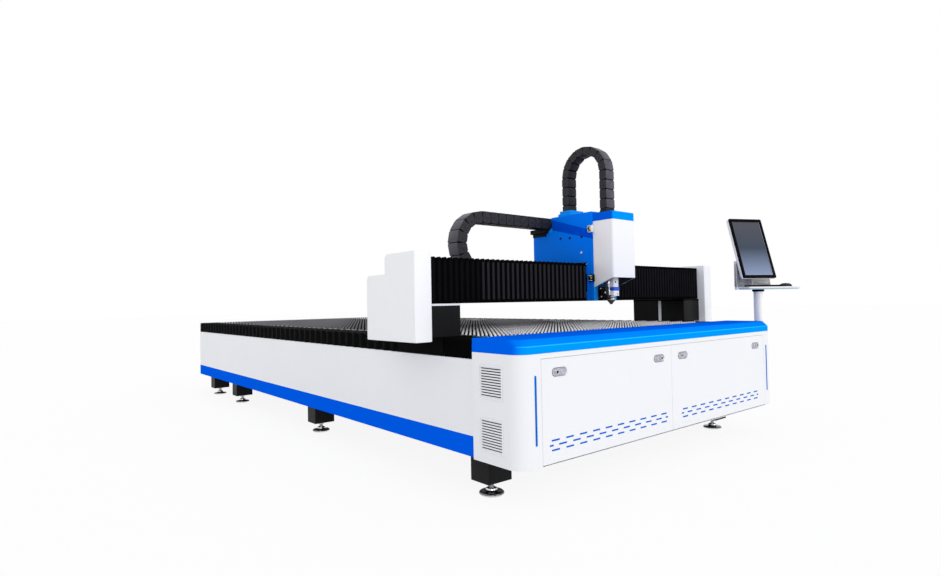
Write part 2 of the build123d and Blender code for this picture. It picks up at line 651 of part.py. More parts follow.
# Each door: a folded sheet with three rows of dashes, ears on its hinge pins and two lock holes
lock_height = cabinet_bottom + CABINET_HEIGHT - DOOR_TOP_MARGIN - LOCK_DROP
narrow_door = min(right - left for left, right in door_spans.values())
dash_span = narrow_door - 2 * DASH_MARGIN - DASH_LENGTH
dash_pitch = dash_span / (DASH_COUNT - 1)
lock_face = cabinet_front - LOCK_THICKNESS - BARREL_PROUD
barrel_back = cabinet_front + DOOR_SHEET + BARREL_PROUD
tongue_front = post_front + POST_DEPTH + TONGUE_PLAY
for name, (door_left, door_right) in door_spans.items():
    door_middle = (door_left + door_right) / 2
    door_width = door_right - door_left
    barrels = [(door_left + LOCK_INSET - BARREL_OFFSET, lock_height),
               (door_right - LOCK_INSET + BARREL_OFFSET, lock_height)]
    with BuildPart() as door:
        with BuildSketch(facing_front(cabinet_front)):
            with Locations((door_middle, (door_bottom + door_top) / 2)):
                Rectangle(door_width, door_top - door_bottom)
            for row in range(DASH_ROWS):
                with Locations((door_middle, cabinet_bottom + DASH_LOWEST + row * DASH_ROW_PITCH)):
                    if row % 2 == 0:
                        with GridLocations(dash_pitch, 0, DASH_COUNT, 1):
                            Rectangle(DASH_LENGTH, DASH_HEIGHT, mode=Mode.SUBTRACT)
                    else:
                        with GridLocations(dash_pitch, 0, DASH_COUNT - 1, 1):
                            Rectangle(DASH_LENGTH, DASH_HEIGHT, mode=Mode.SUBTRACT)
                        with GridLocations(dash_span + DASH_LENGTH, 0, 2, 1):
                            Rectangle(DASH_LENGTH / 2, DASH_HEIGHT, mode=Mode.SUBTRACT)
            with Locations(*barrels):
                Circle(BARREL_RADIUS + SHAFT_CLEARANCE, mode=Mode.SUBTRACT)
        extrude(amount=-DOOR_SHEET)
        with BuildSketch(facing_front(cabinet_front)):
            for x in (door_left + DOOR_SHEET / 2, door_right - DOOR_SHEET / 2):
                with Locations((x, (door_bottom + 2 * HINGE_INSET + door_top) / 2)):
                    Rectangle(DOOR_SHEET, door_top - door_bottom - 2 * HINGE_INSET)
        extrude(amount=-DOOR_RETURN)
        for x in (door_left + HINGE_EDGE, door_right - HINGE_EDGE):
            for ear in (x - HINGE_ARM / 2 - HINGE_PLAY - HINGE_EAR, x + HINGE_ARM / 2 + HINGE_PLAY):
                with BuildSketch(Plane.YZ.offset(ear)):
                    with Locations((hinge_line, hinge_height)):
                        Circle(HINGE_INSET - HINGE_PLAY)
                        Circle(HINGE_PIN_RADIUS + SHAFT_CLEARANCE, mode=Mode.SUBTRACT)
                extrude(amount=HINGE_EAR)
    door.part.label = f"{name}_door"
    export_step(door.part, f"parts/{name}_door.step")
    with BuildPart() as backing:
        with BuildSketch(facing_front(cabinet_front + DOOR_SHEET)):
            with Locations((door_middle, cabinet_bottom + DASH_LOWEST + DASH_ROW_PITCH)):
                Rectangle(dash_span + 2 * DASH_LENGTH + BACKING_MARGIN, 2 * (DASH_ROW_PITCH + BACKING_MARGIN))
        extrude(amount=-BACKING_THICKNESS)
    backing.part.label = f"{name}_door_backing"
    export_step(backing.part, f"parts/{name}_door_backing.step")
    with BuildPart() as lock_plates:
        with BuildSketch(facing_front(cabinet_front)):
            with Locations((door_left + LOCK_INSET, lock_height), (door_right - LOCK_INSET, lock_height)):
                SlotOverall(LOCK_LENGTH, LOCK_HEIGHT)
            with Locations(*barrels):
                Circle(BARREL_RADIUS + SHAFT_CLEARANCE, mode=Mode.SUBTRACT)
        extrude(amount=LOCK_THICKNESS)
    lock_plates.part.label = f"{name}_door_lock_plates"
    export_step(lock_plates.part, f"parts/{name}_door_lock_plates.step")
    for number, (x, z) in enumerate(barrels, start=1):
        with BuildPart() as barrel:
            with BuildSketch(facing_front(lock_face)):
                with Locations((x, z)):
                    Circle(BARREL_RADIUS)
            extrude(amount=lock_face - barrel_back)
            with BuildSketch(facing_front(barrel_back)):
                with Locations((x, z)):
                    Circle(LOCK_SHAFT_RADIUS)
            extrude(amount=barrel_back - tongue_front)
            with BuildSketch(facing_front(tongue_front)):
                with Locations((x, z - TONGUE_LENGTH / 2)):
                    Rectangle(TONGUE_WIDTH, TONGUE_LENGTH)
                with Locations((x, z)):
                    Circle(BARREL_RADIUS)
            extrude(amount=-TONGUE_THICKNESS)
        barrel.part.label = f"{name}_door_lock_{number}"
        export_step(barrel.part, f"parts/{name}_door_lock_{number}.step")

# The laser source that stands on the cabinet's floor behind the left door
with BuildPart() as laser_source:
    with BuildSketch(Plane.XY.offset(door_sill)):
        source_y = from_front(SOURCE_FRONT + SOURCE_DEPTH / 2)
        with Locations((from_left(SOURCE_LEFT + SOURCE_WIDTH / 2), source_y)):
            Rectangle(SOURCE_WIDTH, SOURCE_DEPTH)
    extrude(amount=SOURCE_HEIGHT)
laser_source.part.label = "laser_source"
export_step(laser_source.part, "parts/laser_source.step")

# The mounting plate behind the right door, with its drives and a wiring duct
mount_middle = from_left(MOUNT_LEFT + MOUNT_WIDTH / 2)
mount_face = cabinet_back - CABINET_SHEET - MOUNT_SHEET
with BuildPart() as control_plate:
    with BuildSketch(facing_front(mount_face)):
        with Locations((mount_middle, MOUNT_BOTTOM + MOUNT_HEIGHT / 2)):
            Rectangle(MOUNT_WIDTH, MOUNT_HEIGHT)
    extrude(amount=-MOUNT_SHEET)
    with BuildSketch(facing_front(mount_face)):
        with Locations((mount_middle, MOUNT_BOTTOM + MOUNT_HEIGHT - DUCT_SIZE)):
            Rectangle(MOUNT_WIDTH - 2 * DUCT_SIZE, DUCT_SIZE)
    extrude(amount=DUCT_SIZE)
    with BuildSketch(facing_front(mount_face)):
        with Locations((mount_middle, MOUNT_BOTTOM + DUCT_SIZE + DRIVE_HEIGHT / 2)):
            with GridLocations(DRIVE_PITCH, 0, DRIVE_COUNT, 1):
                Rectangle(DRIVE_WIDTH, DRIVE_HEIGHT)
    extrude(amount=DRIVE_DEPTH)
control_plate.part.label = "control_plate"
export_step(control_plate.part, "parts/control_plate.step")

# The cable gland of the supply, low on the rear panel
with BuildPart() as power_gland:
    with BuildSketch(facing_front(bed_rear)):
        with Locations((middle + bed_half - GLAND_INSET, GLAND_HEIGHT)):
            RegularPolygon(GLAND_RADIUS, 6)
            Circle(GLAND_BORE, mode=Mode.SUBTRACT)
    extrude(amount=-GLAND_LENGTH)
power_gland.part.label = "power_gland"
export_step(power_gland.part, "parts/power_gland.step")


def folds(start, end, count, peak, valley):
    """The points of a pleated edge from start to end, valley first and last."""
    pitch = (end - start) / count
    points = [(start, valley)]
    for fold in range(count):
        points += [(start + (fold + 0.5) * pitch, peak), (start + (fold + 1.0) * pitch, valley)]
    return points


# The gantry's lines along the bed and the bellows that close the rails before and behind it
saddle_front = from_front(GANTRY_FRONT - SADDLE_LEAD)
saddle_back = saddle_front + SADDLE_LENGTH
rail_bellows_half = RAIL_BELLOWS_WIDTH / 2
bellows_spans = {
    "front": (cabinet_back + SEAT_GAP, saddle_front - SEAT_GAP, FRONT_FOLDS),
    "rear": (saddle_back + SEAT_GAP, rear_edge - SEAT_GAP, REAR_FOLDS),
}
for name, (start, end, count) in bellows_spans.items():
    with BuildPart() as bellows:
        for side in (-1, 1):
            centre = middle + side * rail_half
            outer = centre + side * rail_bellows_half
            inner = centre - side * rail_bellows_half
            with BuildSketch(Plane.XY.offset(panel_top + SEAT_GAP)):
                with BuildLine():
                    pleats = folds(start, end, count, 0, RAIL_BELLOWS_FOLD)
                    outer_edge = [(outer - side * d, y) for y, d in pleats]
                    inner_edge = [(inner + side * d, y) for y, d in pleats]
                    Polyline(*outer_edge, *reversed(inner_edge), close=True)
                make_face()
            extrude(amount=rail_cover_top - panel_top - SEAT_GAP)
        with BuildSketch(Plane.YZ.offset(middle - rail_half - rail_bellows_half)):
            with BuildLine():
                top_edge = folds(start, end, count, rail_cover_top, rail_cover_top - RAIL_BELLOWS_FOLD)
                Polyline((start, panel_top), *top_edge, (end, panel_top), close=True)
            make_face()
        extrude(amount=2 * (rail_half + rail_bellows_half), mode=Mode.INTERSECT)
        hollow_half = rail_bellows_half - RAIL_BELLOWS_FOLD - RAIL_BELLOWS_WALL
        hollow_top = rail_cover_top - RAIL_BELLOWS_FOLD - RAIL_BELLOWS_WALL
        with BuildSketch(facing_front(start)):
            for side in (-1, 1):
                centre = middle + side * rail_half
                with Locations((centre, (panel_top + hollow_top) / 2)):
                    Rectangle(2 * hollow_half, hollow_top - panel_top)
                with Locations((centre - side * rail_bellows_half, (panel_top + BEAM_TUBE_TOP) / 2)):
                    Rectangle(2 * rail_bellows_half, BEAM_TUBE_TOP + SEAT_GAP - panel_top + SEAT_GAP)
        extrude(amount=start - end, mode=Mode.SUBTRACT)
    bellows.part.label = f"{name}_rail_bellows"
    export_step(bellows.part, f"parts/{name}_rail_bellows.step")

# The saddles: a plate with two blocks on the rail, a side flange along each edge and a bore for the pinion
saddle_top = LEG_BOTTOM
plate_bottom = saddle_top - SADDLE_PLATE
saddle_middle = (saddle_front + saddle_back) / 2
block_pitch = SADDLE_LENGTH - BLOCK_LENGTH - 2 * SADDLE_PLATE
pinion_half = rail_half + RACK_OFFSET + RACK_SIZE / 2 + PINION_RADIUS
motor_line = from_front(GANTRY_FRONT + MOTOR_BACK)
shaft_radius = PINION_RADIUS / 2
with BuildPart() as saddles:
    with BuildSketch(facing_front(saddle_front)):
        for side in (-1, 1):
            centre = middle + side * rail_half
            with Locations((centre, saddle_top - SADDLE_PLATE / 2)):
                Rectangle(SADDLE_WIDTH, SADDLE_PLATE)
            for edge, bottom in ((side, panel_top + BLOCK_LIFT / 2), (-side, BEAM_TUBE_TOP + BLOCK_LIFT / 2)):
                flange_x = centre + edge * (SADDLE_WIDTH - SADDLE_FLANGE) / 2
                with Locations((flange_x, (bottom + saddle_top) / 2)):
                    Rectangle(SADDLE_FLANGE, saddle_top - bottom)
    extrude(amount=-SADDLE_LENGTH)
    with BuildSketch(Plane.XY.offset(saddle_top)):
        with Locations((middle, motor_line)):
            with GridLocations(2 * pinion_half, 0, 2, 1):
                Circle(PINION_RADIUS + BLOCK_PLAY)
    extrude(amount=-SADDLE_PLATE, mode=Mode.SUBTRACT)
    with BuildSketch(Plane.XY.offset(BEAM_TUBE_TOP + BLOCK_LIFT)):
        with Locations((middle, saddle_middle)):
            with GridLocations(2 * rail_half, block_pitch, 2, 2):
                Rectangle(BLOCK_WIDTH, BLOCK_LENGTH)
    extrude(amount=plate_bottom - BEAM_TUBE_TOP - BLOCK_LIFT)
    with BuildSketch(facing_front(saddle_front)):
        with Locations((middle, BEAM_TUBE_TOP + RAIL_HEIGHT / 2)):
            with GridLocations(2 * rail_half, 0, 2, 1):
                Rectangle(RAIL_WIDTH + 2 * BLOCK_PLAY, RAIL_HEIGHT + 2 * BLOCK_PLAY)
    extrude(amount=-SADDLE_LENGTH, mode=Mode.SUBTRACT)
saddles.part.label = "saddles"
export_step(saddles.part, "parts/saddles.step")

# The gantry's two legs, open underneath, with a groove on the inner side for the white strip
gantry_half = CABINET_WIDTH / 2 + GANTRY_END
leg_half = gantry_half - LEG_WIDTH / 2
leg_front = from_front(GANTRY_FRONT)
leg_middle = leg_front + GANTRY_DEPTH / 2
strip_middle = leg_front + LEG_SPLIT + LEG_STRIP / 2
strip_depth = LEG_WALL / 2
with BuildPart() as legs:
    with BuildSketch(Plane.XY.offset(LEG_BOTTOM)):
        with Locations((middle, leg_middle)):
            with GridLocations(2 * leg_half, 0, 2, 1):
                Rectangle(LEG_WIDTH, GANTRY_DEPTH)
        for side in (-1, 1):
            with Locations((middle + side * (leg_half - (LEG_WIDTH - strip_depth) / 2), strip_middle)):
                Rectangle(strip_depth, LEG_STRIP, mode=Mode.SUBTRACT)
    extrude(amount=LEG_TOP - LEG_BOTTOM)
    with BuildSketch(Plane.XY.offset(LEG_BOTTOM)):
        with Locations((middle, leg_middle)):
            with GridLocations(2 * leg_half, 0, 2, 1):
                Rectangle(LEG_WIDTH - 2 * LEG_WALL, GANTRY_DEPTH - 2 * LEG_WALL)
    extrude(amount=LEG_TOP - LEG_BOTTOM - LEG_WALL, mode=Mode.SUBTRACT)
legs.part.label = "legs"
export_step(legs.part, "parts/legs.step")

# The white plates on the legs, each with the strip that runs down the leg's inner side
with BuildPart() as leg_plates:
    with BuildSketch(Plane.XY.offset(LEG_TOP)):
        with Locations((middle, leg_middle)):
            with GridLocations(2 * leg_half, 0, 2, 1):
                Rectangle(LEG_WIDTH, GANTRY_DEPTH)
    extrude(amount=LEG_PLATE)
    with BuildSketch(Plane.XY.offset(LEG_BOTTOM)):
        for side in (-1, 1):
            with Locations((middle + side * (leg_half - (LEG_WIDTH - strip_depth) / 2), strip_middle)):
                Rectangle(strip_depth, LEG_STRIP)
    extrude(amount=LEG_TOP - LEG_BOTTOM)
leg_plates.part.label = "leg_plates"
export_step(leg_plates.part, "parts/leg_plates.step")

# The motors that stand in the legs, with a shaft and a pinion on the rack
with BuildPart() as y_motors:
    with BuildSketch(Plane.XY.offset(saddle_top)):
        with Locations((middle, motor_line)):
            with GridLocations(2 * pinion_half, 0, 2, 1):
                RectangleRounded(MOTOR_SIZE, MOTOR_SIZE, MOTOR_SIZE / 10)
    extrude(amount=MOTOR_HEIGHT)
    with BuildSketch(Plane.XY.offset(saddle_top)):
        with Locations((middle, motor_line)):
            with GridLocations(2 * pinion_half, 0, 2, 1):
                Circle(shaft_radius)
    extrude(amount=BEAM_TUBE_TOP + BLOCK_LIFT - saddle_top)
    with BuildSketch(Plane.XY.offset(BEAM_TUBE_TOP + BLOCK_LIFT)):
        with Locations((middle, motor_line)):
            with GridLocations(2 * pinion_half, 0, 2, 1):
                Circle(PINION_RADIUS - BLOCK_PLAY)
    extrude(amount=PINION_HEIGHT)
y_motors.part.label = "y_motors"
export_step(y_motors.part, "parts/y_motors.step")

# The gantry's girder: a box tube across the legs, with the long chain's trough behind it
bend_height = BEAM_CHAIN_TOP - BEAM_CHAIN_THICKNESS / 2 - BEAM_CHAIN_RADIUS
chain_back = from_front(BEAM_CHAIN_FRONT) + BEAM_CHAIN_WIDTH
bend_x = from_left(BEAM_CHAIN_BEND)
trough_top = bend_height - BEAM_CHAIN_RADIUS - BEAM_CHAIN_THICKNESS / 2
trough_back = chain_back + TROUGH_MARGIN
lower_run = BEAM_CHAIN_LINKS[0] * pi * BEAM_CHAIN_RADIUS / BEAM_CHAIN_LINKS[1]
trough_length = BEAM_CHAIN_BEND + lower_run - TROUGH_LEFT
girder_bottom = LEG_TOP + LEG_PLATE
girder_front = leg_front + GIRDER_SETBACK
girder_back = girder_front + GIRDER_DEPTH
with BuildPart() as beam:
    with BuildSketch(Plane.YZ.offset(middle - gantry_half)):
        with Locations(((girder_front + girder_back) / 2, (girder_bottom + GIRDER_TOP) / 2)):
            Rectangle(GIRDER_DEPTH, GIRDER_TOP - girder_bottom)
            Rectangle(GIRDER_DEPTH - 2 * GIRDER_WALL, GIRDER_TOP - girder_bottom - 2 * GIRDER_WALL,
                      mode=Mode.SUBTRACT)
    extrude(amount=2 * gantry_half)
    with BuildSketch(Plane.YZ.offset(from_left(TROUGH_LEFT))):
        with Locations(((girder_back + trough_back) / 2, trough_top - TROUGH_SHEET / 2)):
            Rectangle(trough_back - girder_back, TROUGH_SHEET)
        with Locations((trough_back - TROUGH_SHEET / 2, trough_top + TROUGH_LIP / 2)):
            Rectangle(TROUGH_SHEET, TROUGH_LIP)
    extrude(amount=trough_length)
beam.part.label = "beam"
export_step(beam.part, "parts/beam.step")

# The girder's two guide rails and the rack between them
rail_heights = (girder_bottom + GIRDER_RAIL_INSET, GIRDER_TOP - GIRDER_RAIL_INSET)
rack_height = (girder_bottom + GIRDER_TOP) / 2
with BuildPart() as beam_rails:
    with BuildSketch(Plane.YZ.offset(middle - gantry_half + LEG_WALL)):
        with Locations(*[(girder_front - GIRDER_RAIL_HEIGHT / 2, z) for z in rail_heights]):
            Rectangle(GIRDER_RAIL_HEIGHT, GIRDER_RAIL_WIDTH)
        with Locations((girder_front - X_RACK_SIZE / 2, rack_height)):
            Rectangle(X_RACK_SIZE, X_RACK_SIZE)
    extrude(amount=2 * (gantry_half - LEG_WALL))
beam_rails.part.label = "beam_rails"
export_step(beam_rails.part, "parts/beam_rails.step")

# The white end covers: a stepped sheet cover over each leg's outer side
for name, side in (("left", -1), ("right", 1)):
    face = middle + side * gantry_half
    with BuildPart() as end_cover:
        for inset in (0, COVER_SHEET):
            low, back = COVER_BOTTOM - inset / COVER_SHEET, from_front(COVER_FRONT + COVER_LENGTH) - inset
            front, step = from_front(COVER_FRONT) + inset, from_front(COVER_FRONT + COVER_TALL_LENGTH) - inset
            with BuildSketch(Plane.YZ.offset(face)):
                with BuildLine():
                    Polyline((front, low), (front, COVER_TOP - inset), (step, COVER_TOP - inset),
                             (step, COVER_LOW_TOP - inset), (back, COVER_LOW_TOP - inset), (back, low),
                             close=True)
                make_face()
            extrude(amount=side * (COVER_WIDTH - inset), mode=Mode.SUBTRACT if inset else Mode.ADD)
    end_cover.part.label = f"{name}_end_cover"
    export_step(end_cover.part, f"parts/{name}_end_cover.step")

# The pleated bellows that close the girder's front on both sides of the carriage
carriage_left = from_left(CARRIAGE_LEFT)
carriage_right = carriage_left + CARRIAGE_WIDTH
carriage_middle = (carriage_left + carriage_right) / 2
beam_spans = {
    "left": (middle - gantry_half, carriage_left - SEAT_GAP),
    "right": (carriage_right + SEAT_GAP, middle + gantry_half),
}
bellows_back = leg_front + BEAM_BELLOWS_DEPTH
for name, (start, end) in beam_spans.items():
    with BuildPart() as bellows:
        with BuildSketch(Plane.XY.offset(BEAM_BELLOWS_BOTTOM)):
            with BuildLine():
                pleats = folds(start, end, BEAM_FOLDS, leg_front, leg_front + BEAM_BELLOWS_FOLD)
                Polyline((start, bellows_back), *pleats, (end, bellows_back), close=True)
            make_face()
        extrude(amount=BEAM_BELLOWS_TOP - BEAM_BELLOWS_BOTTOM)
    bellows.part.label = f"{name}_beam_bellows"
    export_step(bellows.part, f"parts/{name}_beam_bellows.step")


def chain_solid(label, plane, width, thickness, radius, links):
    """Build a cable chain as hollow links: one straight run, a half turn and a second straight run."""
    turn = 180 / links[1]
    pitch = pi * radius / links[1]
    drawn_in = cos(radians(turn / 2))
    stations = [((link + 0.5) * pitch, -radius, 0, pitch, pitch) for link in range(links[0])]
    for link in range(links[1]):
        angle = -90 - (link + 0.5) * turn
        reach = radius * drawn_in
        outer = 2 * (radius + thickness / 2) * sin(radians(turn / 2))
        inner = 2 * (radius - thickness / 2) * sin(radians(turn / 2))
        stations.append((reach * cos(radians(angle)), reach * sin(radians(angle)), angle - 90, outer, inner))
    stations += [((link + 0.5) * pitch, radius, 0, pitch, pitch) for link in range(links[2])]

    def link_shapes(height, spare):
        for x, y, angle, outer, inner in stations:
            deep = height if outer == inner else height * drawn_in
            slope = (outer - inner) / thickness
            top = outer - slope * (thickness - height) / 2 - spare
            bottom = inner + slope * (thickness - height) / 2 - spare
            with Locations(Location((x, y, 0), (0, 0, angle))):
                Polygon((-bottom / 2, -deep / 2), (bottom / 2, -deep / 2), (top / 2, deep / 2),
                        (-top / 2, deep / 2), align=None)

    with BuildPart() as chain:
        with BuildSketch(plane):
            link_shapes(thickness, CHAIN_GAP)
        extrude(amount=width)
        with BuildSketch(plane.offset(CHAIN_WALL)):
            link_shapes(thickness - 2 * CHAIN_WALL, 0)
        extrude(amount=width - 2 * CHAIN_WALL, mode=Mode.SUBTRACT)
    chain.part.label = label
    export_step(chain.part, f"parts/{label}.step")


# The long cable chain that lies in the girder's trough
chain_solid("beam_chain", Plane(origin=(bend_x, chain_back, bend_height), x_dir=(1, 0, 0), z_dir=(0, -1, 0)),
            BEAM_CHAIN_WIDTH, BEAM_CHAIN_THICKNESS, BEAM_CHAIN_RADIUS, BEAM_CHAIN_LINKS)

# The carriage's blue housing: a sheet cover open underneath, with a column down the front
housing_front = from_front(CARRIAGE_FRONT)
column_back = housing_front + CARRIAGE_COLUMN
housing_step = from_front(CARRIAGE_STEP)
housing_back = from_front(CARRIAGE_BACK)
head_pitch = pi * HEAD_CHAIN_RADIUS / HEAD_CHAIN_LINKS[1]
head_bend = HEAD_CHAIN_TOP - HEAD_CHAIN_THICKNESS / 2 - HEAD_CHAIN_RADIUS
chain_foot = head_bend - HEAD_CHAIN_LINKS[2] * head_pitch
rear_leg = from_front(HEAD_CHAIN_FRONT) + HEAD_CHAIN_THICKNESS / 2 + 2 * HEAD_CHAIN_RADIUS
foot_x = from_left(HEAD_CHAIN_LEFT) + HEAD_CHAIN_WIDTH / 2
with BuildPart() as carriage_housing:
    with BuildSketch(Plane.YZ.offset(carriage_left)):
        with BuildLine():
            Polyline((housing_front, CARRIAGE_BOTTOM), (housing_front, CARRIAGE_TOP),
                     (housing_step, CARRIAGE_TOP), (housing_step, CARRIAGE_LOW_TOP),
                     (housing_back, CARRIAGE_LOW_TOP), (housing_back, CARRIAGE_SHELF),
                     (column_back, CARRIAGE_SHELF), (column_back, CARRIAGE_BOTTOM), close=True)
        make_face()
    extrude(amount=CARRIAGE_WIDTH)
    with BuildSketch(Plane.YZ.offset(carriage_left + CARRIAGE_SHEET)):
        with BuildLine():
            Polyline((housing_front + CARRIAGE_SHEET, CARRIAGE_BOTTOM),
                     (housing_front + CARRIAGE_SHEET, CARRIAGE_TOP - CARRIAGE_SHEET),
                     (housing_step - CARRIAGE_SHEET, CARRIAGE_TOP - CARRIAGE_SHEET),
                     (housing_step - CARRIAGE_SHEET, CARRIAGE_LOW_TOP - CARRIAGE_SHEET),
                     (housing_back - CARRIAGE_SHEET, CARRIAGE_LOW_TOP - CARRIAGE_SHEET),
                     (housing_back - CARRIAGE_SHEET, CARRIAGE_SHELF), (column_back, CARRIAGE_SHELF),
                     (column_back, CARRIAGE_BOTTOM), close=True)
        make_face()
    extrude(amount=CARRIAGE_WIDTH - 2 * CARRIAGE_SHEET, mode=Mode.SUBTRACT)
    with BuildSketch(Plane.XY.offset(CARRIAGE_TOP)):
        with Locations((foot_x, rear_leg)):
            Rectangle(HEAD_CHAIN_WIDTH, HEAD_CHAIN_THICKNESS)
    extrude(amount=chain_foot - CARRIAGE_TOP)
carriage_housing.part.label = "carriage_housing"
export_step(carriage_housing.part, "parts/carriage_housing.step")

# The carriage's plate with its four linear blocks, a motor shelf and a pocket for the pinion
block_back = girder_front - X_RACK_SIZE / 5
pinion_line = girder_front - X_RACK_SIZE - PINION_RADIUS
with BuildPart() as carriage_plate:
    with BuildSketch(Plane.YZ.offset(carriage_left)):
        with Locations((column_back + CARRIAGE_PLATE / 2, (CARRIAGE_BOTTOM + CARRIAGE_SHELF) / 2)):
            Rectangle(CARRIAGE_PLATE, CARRIAGE_SHELF - CARRIAGE_BOTTOM)
    extrude(amount=CARRIAGE_WIDTH)
    with BuildSketch(Plane.XY.offset(CARRIAGE_SHELF)):
        with Locations((carriage_middle, (column_back + from_front(X_SHELF_BACK)) / 2)):
            Rectangle(CARRIAGE_WIDTH - 2 * CARRIAGE_SHEET, from_front(X_SHELF_BACK) - column_back)
        with Locations((carriage_middle, pinion_line)):
            Circle(shaft_radius + SHAFT_CLEARANCE, mode=Mode.SUBTRACT)
    extrude(amount=X_SHELF)
    with BuildSketch(Plane.XY.offset(CARRIAGE_BOTTOM)):
        with Locations((carriage_middle, pinion_line)):
            Circle(PINION_RADIUS + BLOCK_PLAY)
    extrude(amount=CARRIAGE_SHELF - CARRIAGE_BOTTOM, mode=Mode.SUBTRACT)
    with BuildSketch(facing_front(column_back + CARRIAGE_PLATE)):
        for z in rail_heights:
            with Locations((carriage_middle, z)):
                with GridLocations(CARRIAGE_WIDTH - CARRIAGE_BLOCK, 0, 2, 1):
                    Rectangle(CARRIAGE_BLOCK, CARRIAGE_BLOCK_WIDTH)
    extrude(amount=column_back + CARRIAGE_PLATE - block_back)
    with BuildSketch(Plane.YZ.offset(carriage_left)):
        with Locations(*[(girder_front - GIRDER_RAIL_HEIGHT / 2, z) for z in rail_heights]):
            Rectangle(GIRDER_RAIL_HEIGHT + 2 * BLOCK_PLAY, GIRDER_RAIL_WIDTH + 2 * BLOCK_PLAY)
    extrude(amount=CARRIAGE_WIDTH, mode=Mode.SUBTRACT)
carriage_plate.part.label = "carriage_plate"
export_step(carriage_plate.part, "parts/carriage_plate.step")

# The motor that stands on the shelf in the housing, with a shaft and a pinion on the girder's rack
shelf_top = CARRIAGE_SHELF + X_SHELF
with BuildPart() as x_motor:
    with BuildSketch(Plane.XY.offset(shelf_top)):
        with Locations((carriage_middle, pinion_line + X_SHELF)):
            RectangleRounded(X_MOTOR_SIZE, X_MOTOR_SIZE, X_MOTOR_SIZE / 10)
    extrude(amount=X_MOTOR_HEIGHT)
    with BuildSketch(Plane.XY.offset(shelf_top)):
        with Locations((carriage_middle, pinion_line)):
            Circle(shaft_radius)
    extrude(amount=rack_height - PINION_RADIUS - shelf_top)
    with BuildSketch(Plane.XY.offset(rack_height - PINION_RADIUS)):
        with Locations((carriage_middle, pinion_line)):
            Circle(PINION_RADIUS - BLOCK_PLAY)
    extrude(amount=2 * PINION_RADIUS)
x_motor.part.label = "x_motor"
export_step(x_motor.part, "parts/x_motor.step")

# The black bracket on the carriage that carries the end of the long chain
chain_bottom = BEAM_CHAIN_TOP - BEAM_CHAIN_THICKNESS
with BuildPart() as chain_bracket:
    with BuildSketch(Plane.YZ.offset(carriage_left - BRACKET_REACH)):
        bracket_y = (from_front(BEAM_CHAIN_FRONT) + housing_back) / 2
        with Locations((bracket_y, (CARRIAGE_LOW_TOP + chain_bottom) / 2)):
            Rectangle(housing_back - from_front(BEAM_CHAIN_FRONT), chain_bottom - CARRIAGE_LOW_TOP)
    extrude(amount=CARRIAGE_WIDTH + BRACKET_REACH)
    with BuildSketch(Plane.YZ.offset(carriage_left)):
        with Locations(((from_front(BRACKET_FRONT) + housing_back) / 2, CARRIAGE_LOW_TOP)):
            Rectangle(housing_back - from_front(BRACKET_FRONT), 2 * BRACKET_DROP)
    extrude(amount=-CARRIAGE_SHEET)
chain_bracket.part.label = "chain_bracket"
export_step(chain_bracket.part, "parts/chain_bracket.step")

# The two plugs on the carriage's left side
with BuildPart() as connectors:
    with BuildSketch(Plane.YZ.offset(carriage_left)):
        with Locations(*[(from_front(CONNECTOR_BACK), z) for z in CONNECTOR_HEIGHTS]):
            Circle(CONNECTOR_RADIUS)
    extrude(amount=-CONNECTOR_LENGTH)
connectors.part.label = "connectors"
export_step(connectors.part, "parts/connectors.step")

# The rails on the housing's front that the Z unit runs on
with BuildPart() as z_rails:
    with BuildSketch(Plane.XY.offset(Z_RAIL_BOTTOM)):
        with Locations((carriage_middle, housing_front - Z_RAIL / 2)):
            with GridLocations(Z_RAIL_SPACING, 0, 2, 1):
                Rectangle(Z_RAIL, Z_RAIL)
    extrude(amount=Z_RAIL_TOP - Z_RAIL_BOTTOM)
z_rails.part.label = "z_rails"
export_step(z_rails.part, "parts/z_rails.step")

# The Z slide: a plate as wide as the cover's inside, with four small blocks on the rails
slide_back = housing_front - Z_RAIL - Z_GAP
with BuildPart() as z_slide:
    with BuildSketch(facing_front(slide_back)):
        with Locations((carriage_middle, (Z_SLIDE_BOTTOM + Z_SLIDE_TOP) / 2)):
            Rectangle(CARRIAGE_WIDTH - 2 * Z_COVER_SHEET, Z_SLIDE_TOP - Z_SLIDE_BOTTOM)
    extrude(amount=Z_SLIDE_THICKNESS)
    with BuildSketch(facing_front(slide_back)):
        with Locations((carriage_middle, (Z_SLIDE_BOTTOM + Z_SLIDE_TOP) / 2)):
            with GridLocations(Z_RAIL_SPACING, Z_SLIDE_TOP - Z_SLIDE_BOTTOM - Z_ARM, 2, 2):
                Rectangle(Z_BLOCK, Z_ARM)
                Rectangle(Z_RAIL + 2 * BLOCK_PLAY, Z_ARM, mode=Mode.SUBTRACT)
    extrude(amount=-(Z_RAIL - Z_GAP))
z_slide.part.label = "z_slide"
export_step(z_slide.part, "parts/z_slide.step")

